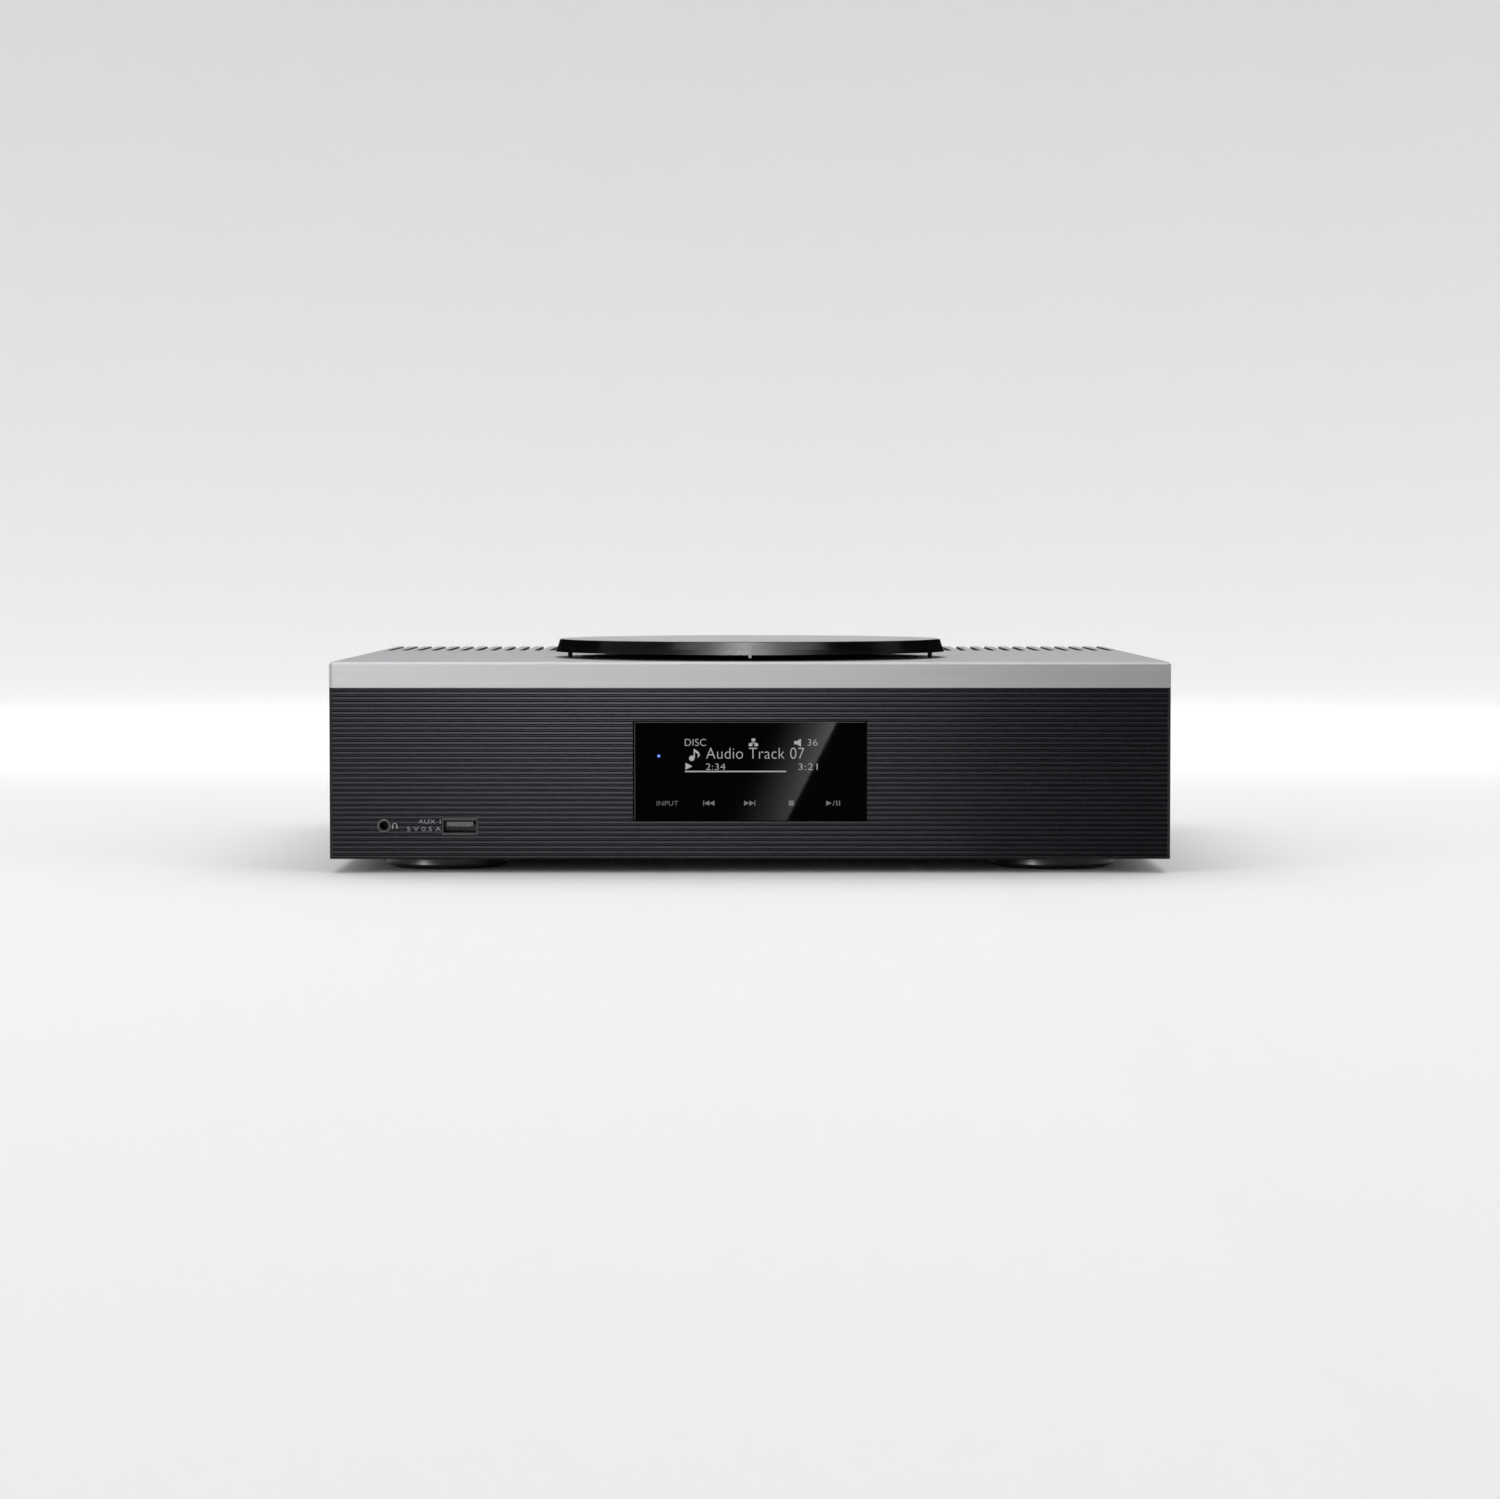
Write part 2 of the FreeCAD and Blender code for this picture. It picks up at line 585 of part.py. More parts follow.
def pivot_bush():
    barrel = rod(PIVOT_X, PIVOT_Y, BUSH_LOW, 7.0, Z_TOP - BUSH_LOW)
    flange = cone(PIVOT_X, PIVOT_Y, Z_TOP, BUSH_FLANGE_R, BUSH_FLANGE_R - 0.8, 1.8)
    return join([barrel, flange]).cut(rod(PIVOT_X, PIVOT_Y, BUSH_LOW, SHAFT_R + RUN_CLEAR, 20.0))


def lid_bumpers():
    height = 2.3
    return Part.makeCompound([rod(x, FRONT_Y + BUMPER_DEPTH, Z_TOP, 1.0, height)
                              for x in (-BUMPER_X, BUMPER_X)])


def lid_sensor():
    board = box(SENSOR_X - 7.0, SENSOR_X + 7.0, SENSOR_Y - 4.0, SENSOR_Y + 4.0, Z_PLATE - 1.0, Z_PLATE)
    chip = box(SENSOR_X - 2.0, SENSOR_X + 2.0, SENSOR_Y - 1.5, SENSOR_Y + 1.5, Z_PLATE - 2.2, Z_PLATE - 1.0)
    return join([board, chip])


# ---------------------------------------------------------------- disc well and mechanism
BASE_Z = 70.0
BASE_T = 2.0
BOSS_LOW = 74.5


def finger_scoops():
    """Wedges that lower the lip of the well at its left and right."""
    tools = []
    for side in (-1, 1):
        high, far = Z_TOP + WELL_LIP + 1.0, WELL_APRON_R + 1.0
        corners = [V(side * SCOOP_X, LID_Y - far, Z_TOP + WELL_LIP),
                   V(side * SCOOP_END_X, LID_Y - far, Z_TOP + SCOOP_LIP),
                   V(side * far, LID_Y - far, Z_TOP + SCOOP_LIP),
                   V(side * far, LID_Y - far, high),
                   V(side * SCOOP_X, LID_Y - far, high)]
        face = Part.Face(Part.makePolygon(corners + corners[:1]))
        tools.append(face.extrude(V(0, 2.0 * far, 0)))
    return tools


def disc_well():
    floor_t = 1.5
    low = WELL_FLOOR_Z - floor_t
    wall = ring(0, LID_Y, low, WELL_R + WELL_WALL, WELL_R, Z_TOP + WELL_LIP - low)
    wall = chamfer(wall, 0.4, lambda edge: is_at_height(edge, Z_TOP + WELL_LIP))
    floor = ring(0, LID_Y, low, WELL_R + WELL_WALL, 19.0, floor_t)
    slope = Part.makeCone(WELL_APRON_R, WELL_R + WELL_WALL, WELL_LIP - WELL_APRON_EDGE,
                          V(0, LID_Y, Z_TOP + WELL_APRON_EDGE))
    apron = join([rod(0, LID_Y, Z_TOP, WELL_APRON_R, WELL_APRON_EDGE), slope])
    apron = apron.cut([rod(0, LID_Y, Z_TOP, WELL_R + WELL_WALL / 2.0, WELL_LIP + 1),
                       rod(PIVOT_X, PIVOT_Y, Z_TOP, BUSH_FLANGE_R + 0.3, WELL_LIP + 1)])
    bosses = [rod(x, y, BOSS_LOW, 3.5, low - BOSS_LOW + 0.5) for x, y in damper_places()]
    well = join([wall, floor, apron] + bosses)
    tools = [box(14.0, 58.5, LID_Y - 13.0, LID_Y + 13.0, low, WELL_FLOOR_Z)]
    tools += [rod(x, y, BOSS_LOW, 1.3, 5.5) for x, y in damper_places()]
    tools += [rod(x, y, Z_TOP, WELL_SCREW_R, WELL_SCREW_BITE) for x, y in well_screw_places()]
    return well.cut(tools + finger_scoops())


def turntable_hub():
    skirt = rod(0, LID_Y, 78.0, 12.0, 4.6)
    seat = rod(0, LID_Y, DISC_Z - 2.0, 14.5, 2.0)
    nose = join([rod(0, LID_Y, DISC_Z, 7.4, 1.4), cone(0, LID_Y, DISC_Z + 1.4, 7.4, 5.6, 1.6)])
    return join([skirt, seat, nose]).cut(rod(0, LID_Y, 78.0, 0.75, 4.0))


def spindle_shaft():
    return rod(0, LID_Y, 60.4, 0.75, 21.6)


def spindle_motor():
    can = rod(0, LID_Y, 61.0, 10.5, BASE_Z - 61.0)
    neck = rod(0, LID_Y, BASE_Z, 4.0, 5.0)
    return join([can, neck]).cut(rod(0, LID_Y, 61.0, 0.75 + RUN_CLEAR, 20.0))


def mechanism_base():
    top = box(-48.0, 76.0, LID_Y - 35.0, LID_Y + 53.0, BASE_Z, BASE_Z + BASE_T)
    brackets = []
    for x in (10.0, 69.0):
        for y in (-ROD_Y, ROD_Y):
            brackets.append(box(x, x + 3.0, LID_Y + y - 2.5, LID_Y + y + 2.5, ROD_Z - 2.5, BASE_Z))
    post = rod(FEED_X, LID_Y + FEED_Y, 59.0, ROD_R, BASE_Z - 59.0)
    clip = rod(FEED_X, LID_Y + FEED_Y, 59.0, 3.2, 0.8)
    base = join([top, post, clip] + brackets)
    tools = [rod(0, LID_Y, BASE_Z, 4.0, BASE_T), box(13.0, 68.5, LID_Y - 12.0, LID_Y + 12.0, BASE_Z, 73.0)]
    tools += [rod(x, y, BASE_Z, 3.5, BASE_T) for x, y in damper_places()]
    for y in (-ROD_Y, ROD_Y):
        tools.append(rod(10.0, LID_Y + y, ROD_Z, ROD_R, 62.0, (1, 0, 0)))
    return base.cut(tools)


def mechanism_dampers():
    group = []
    for x, y in damper_places():
        low = ring(x, y, BASE_Z - 1.0, 5.0, 1.3, 1.0)
        waist = ring(x, y, BASE_Z, 3.5, 1.3, BASE_T)
        high = ring(x, y, BASE_Z + BASE_T, 5.0, 1.3, BOSS_LOW - BASE_Z - BASE_T)
        group.append(join([low, waist, high]))
    return Part.makeCompound(group)


def mechanism_screws():
    group = [screw(x, y, BASE_Z - 1.0, (0, 0, 1), 9.5, 1.3, 3.4, 1.2) for x, y in damper_places()]
    for x, y in well_screw_places():
        group.append(screw(x, y, Z_PLATE, (0, 0, 1), COVER_T + WELL_SCREW_BITE, WELL_SCREW_R, 1.9, 1.0))
    return Part.makeCompound(group)


def guide_rods():
    return Part.makeCompound([rod(10.0, LID_Y + y, ROD_Z, ROD_R, 62.0, (1, 0, 0))
                              for y in (-ROD_Y, ROD_Y)])


SLED_HALF = 9.0
LENS_R = 4.0
LENS_TOP = 79.6


def rack():
    """Rack with a gap opposite the feed pinion at the start of the travel."""
    low, high = ROD_Z - 3.0, ROD_Z
    start, end = FEED_X - PICKUP_TRAVEL - 5.0, FEED_X + 4.0
    pitch = math.pi * RACK_MODULE
    root = RACK_PITCH_Y - 1.1
    tip = RACK_PITCH_Y + 0.5
    lean = math.tan(PRESSURE_ANGLE)
    pieces = [box(start, end, LID_Y + 19.0, LID_Y + root, low, high)]
    for number in range(-15, 3):
        middle = FEED_X + pitch * (number - 0.5)
        if middle < start + 1.2 or middle > end - 1.2:
            continue
        half = pitch / 4.0 - TOOTH_PLAY / 2.0
        half_root = half + (RACK_PITCH_Y - root + 0.1) * lean
        half_tip = half - (tip - RACK_PITCH_Y) * lean
        tooth_root, tooth_tip = LID_Y + root - 0.1, LID_Y + tip
        outline = [(middle - half_root, tooth_root), (middle + half_root, tooth_root),
                   (middle + half_tip, tooth_tip), (middle - half_tip, tooth_tip)]
        pieces.append(plate(outline, low, high))
    return join(pieces)


def pickup_sled():
    x0, x1 = LENS_X - SLED_HALF, LENS_X + SLED_HALF
    low = ROD_Z - 3.0
    block = box(x0, x1, LID_Y - 19.5, LID_Y + 19.5, low, ROD_Z + 3.0)
    tower = box(LENS_X - 7.0, LENS_X + 7.0, LID_Y - 8.0, LID_Y + 8.0, ROD_Z + 3.0, 77.0)
    sled = join([block, tower, rack()])
    well = rod(LENS_X, LID_Y, 72.0, LENS_R + 0.8, 8.0)
    bore = rod(x0, LID_Y + ROD_Y, ROD_Z, ROD_R + RUN_CLEAR, x1 - x0, (1, 0, 0))
    fork = box(x0, x1, LID_Y - 20.0, LID_Y - ROD_Y + ROD_R + 0.3, ROD_Z - ROD_R - RUN_CLEAR,
               ROD_Z + ROD_R + RUN_CLEAR)
    return sled.cut([well, bore, fork])


def objective_lens():
    holder = rod(LENS_X, LID_Y, 73.0, LENS_R, LENS_TOP - 1.0 - 73.0)
    ball = Part.makeSphere(3.4, V(LENS_X, LID_Y, LENS_TOP - 3.4))
    dome = ball.common(rod(LENS_X, LID_Y, LENS_TOP - 1.6, 2.6, 2.0))
    return join([holder, dome])


FEED_LOW = 60.5


def feed_gear():
    wheel = gear_outline(GEAR_MODULE, WHEEL_TEETH, 0.42, 0.75)
    pinion = gear_outline(RACK_MODULE, PINION_TEETH, 0.8, 0.8)
    y = LID_Y + FEED_Y
    body = join([plate(moved(wheel, FEED_X, y), FEED_LOW, FEED_LOW + 2.0),
                 plate(moved(pinion, FEED_X, y), FEED_LOW + 2.0, ROD_Z + 0.3)])
    return body.cut(rod(FEED_X, y, FEED_LOW, ROD_R + RUN_CLEAR, 10.0))


def feed_pinion():
    half_tooth = math.pi / PINION_TEETH
    outline = gear_outline(GEAR_MODULE, PINION_TEETH, 0.6, 0.6, half_tooth)
    y = LID_Y + FEED_MOTOR_Y
    gear = plate(moved(outline, FEED_X, y), FEED_LOW, FEED_LOW + 2.2)
    return join([gear, rod(FEED_X, y, FEED_LOW, 0.75, 7.5)])


def feed_motor():
    y = LID_Y + FEED_MOTOR_Y
    can = rod(FEED_X, y, 63.4, 8.0, BASE_Z - 63.4)
    return can.cut(rod(FEED_X, y, 63.4, 0.75 + RUN_CLEAR, 5.2))


# ---------------------------------------------------------------- boards
def board_standoffs():
    group = []
    for x, y, top in board_places():
        post = rod(x, y, Z0 + SHEET_T, 3.0, top - Z0 - SHEET_T)
        group.append(post.cut(rod(x, y, top - 5.0, SCREW_R, 5.0)))
    return Part.makeCompound(group)


def board_screws():
    return Part.makeCompound([screw(x, y, top + BOARD_T, (0, 0, -1), BOARD_T + 4.0)
                              for x, y, top in board_places()])


RIBBON_T = 0.3


def main_board():
    x0, x1, y0, y1 = MAIN_BOARD
    pieces = [box(x0, x1, y0, y1, BOARD_Z, BOARD_TOP)]
    chips = ((30.0, 30.0, 16.0, 16.0, 1.6), (130.0, 60.0, 14.0, 14.0, 1.6), (60.0, 95.0, 10.0, 18.0, 2.4),
             (20.0, 70.0, 12.0, 8.0, 5.0), (150.0, 40.0, 9.0, 9.0, 6.0))
    for x, y, wide, deep, high in chips:
        pieces.append(box(x0 + x, x0 + x + wide, y0 + y, y0 + y + deep, BOARD_TOP, BOARD_TOP + high))
    pieces.append(box(-4.0, 18.0, y0, y0 + 6.0, BOARD_TOP, BOARD_TOP + 3.0))
    pieces.append(box(60.0, 80.0, y0, y0 + 6.0, BOARD_TOP, BOARD_TOP + 3.0))
    holes = [rod(x, y, 0, SCREW_R, 20.0) for x, y, z in board_places() if z == BOARD_Z]
    return join(pieces).cut(holes)


def network_module():
    x0, y0 = 60.0, FRONT_Y + 205.0
    can = box(x0, x0 + 42.0, y0, y0 + 32.0, BOARD_TOP, BOARD_TOP + 4.5)
    aerial = box(x0 + 30.0, x0 + 38.0, y0 + 32.0, y0 + 44.0, BOARD_TOP, BOARD_TOP + 1.0)
    return join([can, aerial])


def heat_sink():
    x0, x1 = 102.0, 160.0
    y0, y1 = FRONT_Y + 255.0, FRONT_Y + 300.0
    pieces = [box(x0, x1, y0, y1, BOARD_TOP + 2.0, BOARD_TOP + 6.0)]
    count = 11
    fin_t = 1.6
    pitch = (x1 - x0 - fin_t) / (count - 1)
    for number in range(count):
        x = x0 + pitch * number
        pieces.append(box(x, x + fin_t, y0, y1, BOARD_TOP + 6.0, BOARD_TOP + 34.0))
    pieces.append(box(x0 + 12.0, x1 - 12.0, y0 + 8.0, y0 + 30.0, BOARD_TOP, BOARD_TOP + 2.0))
    return join(pieces)


def power_board():
    x0, x1, y0, y1 = POWER_BOARD
    pieces = [box(x0, x1, y0, y1, BOARD_Z, BOARD_TOP)]
    pieces.append(box(x0 + 8.0, x0 + 30.0, y0 + 60.0, y0 + 78.0, BOARD_TOP, BOARD_TOP + 20.0))
    pieces.append(box(x0 + 92.0, x0 + 96.0, y0 + 20.0, y0 + 70.0, BOARD_TOP, BOARD_TOP + 28.0))
    holes = [rod(x, y, 0, SCREW_R, 20.0) for x, y, z in board_places() if z == BOARD_Z]
    return join(pieces).cut(holes)


def transformer():
    x, y = POWER_BOARD[0] + 42.0, POWER_BOARD[2] + 24.0
    core = box(x, x + 42.0, y, y + 36.0, BOARD_TOP + 6.0, BOARD_TOP + 24.0)
    winding = box(x + 6.0, x + 36.0, y - 5.0, y + 41.0, BOARD_TOP, BOARD_TOP + 30.0)
    return join([core, winding])


def smoothing_capacitors():
    group = []
    for x, y, radius, high in ((20.0, 30.0, 11.0, 36.0), (108.0, 78.0, 9.0, 32.0), (126.0, 60.0, 6.5, 25.0),
                               (124.0, 24.0, 8.0, 30.0)):
        can = rod(POWER_BOARD[0] + x, POWER_BOARD[2] + y, BOARD_TOP, radius, high)
        group.append(chamfer(can, 0.8, lambda edge: is_at_height(edge, BOARD_TOP + high)))
    return Part.makeCompound(group)


def ribbon_cables():
    drop_y = LID_Y + 53.0
    low = BOARD_TOP + 3.0
    y0 = MAIN_BOARD[2]
    one = join([box(0.0, 14.0, drop_y, drop_y + RIBBON_T, low, BASE_Z + BASE_T),
                box(0.0, 14.0, drop_y, y0 + 5.0, low, low + RIBBON_T)])
    plug_y = WINDOW_BACK + 6.6
    turn_y = UPRIGHT_Y + SHEET_T + 1.0
    two = join([box(10.5, 24.5, plug_y, turn_y, 29.5, 29.5 + RIBBON_T),
                box(10.5, 24.5, turn_y - RIBBON_T, turn_y, 11.0, 29.5 + RIBBON_T),
                box(10.5, 24.5, turn_y - RIBBON_T, FRONT_Y + 60.0, 11.0, 11.0 + RIBBON_T),
                box(10.5, 76.0, FRONT_Y + 46.0, FRONT_Y + 60.0, 11.0, 11.0 + RIBBON_T),
                box(62.0, 76.0, FRONT_Y + 46.0, y0 - 3.0, 11.0, 11.0 + RIBBON_T),
                box(62.0, 76.0, y0 - 3.3, y0 - 3.0, 11.0, low),
                box(62.0, 76.0, y0 - 3.3, y0 + 5.0, low, low + RIBBON_T)])
    return Part.makeCompound([one, two])


# ---------------------------------------------------------------- rear sockets
def mains_inlet():
    flange = box(INLET_X - 20.0, INLET_X + 20.0, REAR_Y, REAR_Y + 2.0, INLET_Z - 10.0, INLET_Z + 10.0)
    body = box(INLET_X - 10.9, INLET_X + 10.9, REAR_Y - 18.0, REAR_Y, INLET_Z - 6.9, INLET_Z + 6.9)
    stem = box(INLET_X - 8.0, INLET_X + 8.0, REAR_Y - 18.0, REAR_Y - 12.0, BOARD_TOP, INLET_Z - 6.9)
    pin_x = 4.3
    face = REAR_Y + 2.0
    deep = 13.0
    tools = [box(INLET_X - pin_x, INLET_X + pin_x, face - deep, face, INLET_Z - 3.3, INLET_Z + 3.3)]
    pins = []
    for side in (-1, 1):
        x = INLET_X + side * pin_x
        tools.append(rod(x, face - deep, INLET_Z, 3.9, deep, (0, 1, 0)))
        tools.append(rod(INLET_X + side * 16.0, REAR_Y, INLET_Z, SCREW_R, 2.0, (0, 1, 0)))
        pins.append(rod(x, face - deep - 1.0, INLET_Z, 1.2, 10.0, (0, 1, 0)))
    return join([join([flange, body, stem]).cut(tools)] + pins)


def lan_jack():
    low = BOARD_TOP
    body = box(LAN_X - 8.0, LAN_X + 8.0, REAR_Y - 21.0, REAR_Y + 0.5, low, low + 13.5)
    face = REAR_Y + 0.5
    cavity = box(LAN_X - 5.9, LAN_X + 5.9, face - 13.0, face, low + 3.6, low + 10.6)
    latch = box(LAN_X - 3.1, LAN_X + 3.1, face - 13.0, face, low + 1.4, low + 3.6)
    return body.cut([cavity, latch])


def optical_jack():
    low = BOARD_TOP
    body = box(OPTICAL_X - 4.9, OPTICAL_X + 4.9, REAR_Y - 13.0, REAR_Y + 0.5, low, low + 10.0)
    face = REAR_Y + 0.5
    recess = box(OPTICAL_X - 3.0, OPTICAL_X + 3.0, face - 1.2, face, low + 2.0, low + 8.0)
    return body.cut(recess)


PHONO_R = 4.15
PHONO_BORE_R = 1.65


def phono_jacks():
    group = []
    for x in sorted({place[0] for place in PHONO_PLACES}):
        block = box(x - 5.0, x + 5.0, REAR_Y - 12.0, REAR_Y - SHEET_T, BOARD_TOP, 48.0)
        levels = [place[1] for place in PHONO_PLACES if place[0] == x]
        barrels = [rod(x, REAR_Y - 5.0, z, PHONO_R, 14.0, (0, 1, 0)) for z in levels]
        bores = [rod(x, REAR_Y - 1.0, z, PHONO_BORE_R, 10.0, (0, 1, 0)) for z in levels]
        group.append(join([block] + barrels).cut(bores))
    return Part.makeCompound(group)


def antenna_socket():
    back = REAR_Y - SHEET_T
    face = REAR_Y + AERIAL_COLLAR_T
    tip = face + AERIAL_L
    half = AERIAL_COLLAR_R + 0.5
    block = box(AERIAL_X - half, AERIAL_X + half, back - 8.0, back, BOARD_TOP, AERIAL_Z + half)
    collar = rod(AERIAL_X, back, AERIAL_Z, AERIAL_COLLAR_R, face - back, (0, 1, 0))
    barrel = rod(AERIAL_X, face, AERIAL_Z, AERIAL_R, AERIAL_L, (0, 1, 0))
    bore = rod(AERIAL_X, tip - 8.0, AERIAL_Z, 0.6, 8.0, (0, 1, 0))
    dish = rod(AERIAL_X, tip - 1.0, AERIAL_Z, 3.4, 1.0, (0, 1, 0))
    return join([block, collar, barrel]).cut([bore, dish])


TERMINAL_T = 3.0
POST_BORE_R = 2.0
POST_BORE_L = 13.0


def terminal_base():
    half = 2.0 * POST_PITCH + 2.0
    base = box(POST_X - half, POST_X + half, REAR_Y, REAR_Y + TERMINAL_T, POST_Z - 11.0, POST_Z + 11.0)
    base = chamfer(base, 1.0, lambda edge: all(v.Y > REAR_Y + 1 for v in edge.Vertexes))
    return base.cut([rod(x, REAR_Y, POST_Z, POST_R, TERMINAL_T, (0, 1, 0)) for number, x in post_places()])


def speaker_posts():
    group = []
    for number, x in post_places():
        stud = rod(x, REAR_Y - 8.0, POST_Z, POST_R, REAR_REACH + 8.0, (0, 1, 0))
        nut = rod(x, REAR_Y - SHEET_T - 2.4, POST_Z, 5.0, 2.4, (0, 1, 0))
        bore = rod(x, REAR_Y + REAR_REACH - POST_BORE_L, POST_Z, POST_BORE_R, POST_BORE_L, (0, 1, 0))
        group.append(join([stud, nut]).cut(bore))
    return Part.makeCompound(group)


def terminal_cap(x):
    start = REAR_Y + TERMINAL_T + 0.4
    length = REAR_REACH - TERMINAL_T - 0.8
    cap = rod(x, start, POST_Z, CAP_R, length, (0, 1, 0))
    cap = chamfer(cap, 0.6, lambda edge: all(abs(v.Y - start - length) < 1e-6 for v in edge.Vertexes))
    tools = [rod(x, start, POST_Z, POST_R + RUN_CLEAR, length, (0, 1, 0))]
    count = 18
    for number in range(count):
        angle = 2.0 * math.pi * number / count
        tools.append(rod(x + (CAP_R + 0.25) * math.cos(angle), start + 1.2,
                         POST_Z + (CAP_R + 0.25) * math.sin(angle), 0.55, length, (0, 1, 0)))
    return cap.cut(tools)


# ---------------------------------------------------------------- every part, one file each
def main():
    os.makedirs("parts", exist_ok=True)
    makers = (top_cover, front_panel, bottom_chassis, rear_panel, case_screws, feet, foot_pads,
              display_window, window_gasket, display_module, touch_board, standby_led,
              headphone_jack, usb_socket, usb_tongue, front_io_board,
              lid_cover, lid_base, lid_finger_mark, lid_shaft, lid_clip, lid_magnet,
              pivot_bush, lid_bumpers, lid_sensor,
              disc_well, turntable_hub, spindle_shaft, spindle_motor, mechanism_base,
              mechanism_dampers, mechanism_screws, guide_rods, pickup_sled, objective_lens,
              feed_gear, feed_pinion, feed_motor,
              board_standoffs, board_screws, main_board, network_module, heat_sink,
              power_board, transformer, smoothing_capacitors, ribbon_cables,
              mains_inlet, lan_jack, optical_jack, phono_jacks, antenna_socket,
              terminal_base, speaker_posts)
    for maker in makers:
        save(maker.__name__, maker())
    save("side_panel_left", side_panel(-1))
    save("side_panel_right", side_panel(1))
    for number, x in post_places():
        save("terminal_cap_" + str(number), terminal_cap(x))


main()
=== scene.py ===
import math

import bmesh
import bpy
from mathutils import Matrix, Vector


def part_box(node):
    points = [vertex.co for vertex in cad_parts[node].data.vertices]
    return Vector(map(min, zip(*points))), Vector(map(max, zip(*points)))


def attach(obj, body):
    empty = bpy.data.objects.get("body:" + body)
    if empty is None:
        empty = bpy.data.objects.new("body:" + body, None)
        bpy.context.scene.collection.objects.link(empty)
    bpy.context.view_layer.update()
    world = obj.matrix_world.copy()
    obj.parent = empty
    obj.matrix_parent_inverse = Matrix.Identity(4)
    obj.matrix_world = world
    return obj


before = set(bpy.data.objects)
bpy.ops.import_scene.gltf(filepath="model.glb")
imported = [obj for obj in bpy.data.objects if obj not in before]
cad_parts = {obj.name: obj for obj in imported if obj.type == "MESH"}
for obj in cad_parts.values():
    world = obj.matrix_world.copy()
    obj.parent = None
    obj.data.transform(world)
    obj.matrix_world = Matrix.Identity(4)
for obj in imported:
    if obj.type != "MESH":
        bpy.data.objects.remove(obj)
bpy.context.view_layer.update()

MM = 0.001

# ---------------------------------------------------------------- places read from the frame
cover_low, cover_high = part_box("top_cover")
panel_low, panel_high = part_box("front_panel")
window_low, window_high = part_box("display_window")
jack_low, jack_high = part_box("headphone_jack")
tongue_low, tongue_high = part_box("usb_tongue")
hub_low, hub_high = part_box("turntable_hub")
inlet_low, inlet_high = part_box("mains_inlet")
phono_low, phono_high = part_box("phono_jacks")

FRONT_Y = cover_low.y
REAR_Y = cover_high.y
CREST_Y = panel_low.y                 # crests of the front ribs
BODY_BOTTOM = panel_low.z
TOP_Z = cover_high.z
WINDOW_FACE = window_low.y
SLOT_START = FRONT_Y + 235 * MM       # just ahead of the vent slots
SLOT_PAINTED_SHADE = (0.015, 0.015, 0.016)       # painted shade: near-black colour standing in for the shade on the inner walls of the vent slots


# ---------------------------------------------------------------- material building
class Nodes:
    """A small helper that adds and joins shader nodes of one material."""

    def __init__(self, name):
        self.material = bpy.data.materials.new(name)
        self.material.use_nodes = True
        self.tree = self.material.node_tree
        self.shader = self.tree.nodes["Principled BSDF"]

    def add(self, kind, **values):
        node = self.tree.nodes.new(kind)
        for key, value in values.items():
            setattr(node, key, value)
        return node

    def link(self, source, target):
        self.tree.links.new(source, target)

    def coords(self, scale=(1, 1, 1), turn=(0, 0, 0)):
        place = self.add("ShaderNodeTexCoord")
        mapping = self.add("ShaderNodeMapping")
        mapping.inputs["Scale"].default_value = scale
        mapping.inputs["Rotation"].default_value = turn
        self.link(place.outputs["Object"], mapping.inputs["Vector"])
        return mapping.outputs["Vector"]

    def noise(self, vector, scale, detail=3.0, rough=0.55):
        node = self.add("ShaderNodeTexNoise")
        node.inputs["Scale"].default_value = scale
        node.inputs["Detail"].default_value = detail
        node.inputs["Roughness"].default_value = rough
        self.link(vector, node.inputs["Vector"])
        return node.outputs["Fac"]

    def span(self, value, low, high, to_low, to_high):
        node = self.add("ShaderNodeMapRange")
        node.inputs["From Min"].default_value = low
        node.inputs["From Max"].default_value = high
        node.inputs["To Min"].default_value = to_low
        node.inputs["To Max"].default_value = to_high
        self.link(value, node.inputs["Value"])
        return node.outputs["Result"]

    def mix(self, factor, first, second):
        node = self.add("ShaderNodeMix", data_type="RGBA")
        if isinstance(factor, float):
            node.inputs["Factor"].default_value = factor
        else:
            self.link(factor, node.inputs["Factor"])
        for socket, colour in ((node.inputs["A"], first), (node.inputs["B"], second)):
            if isinstance(colour, tuple):
                socket.default_value = (*colour, 1.0)
            else:
                self.link(colour, socket)
        return node.outputs["Result"]

    def bump(self, height, distance, strength=1.0):
        node = self.add("ShaderNodeBump")
        node.inputs["Distance"].default_value = distance
        node.inputs["Strength"].default_value = strength
        self.link(height, node.inputs["Height"])
        return node.outputs["Normal"]

    def edges(self, low=0.52, high=0.62):
        """How much an edge stands proud: 0 on flats, 1 on worn corners."""
        place = self.add("ShaderNodeNewGeometry")
        return self.span(place.outputs["Pointiness"], low, high, 0.0, 1.0)


def scaled(colour, factor):
    return tuple(channel * factor for channel in colour)


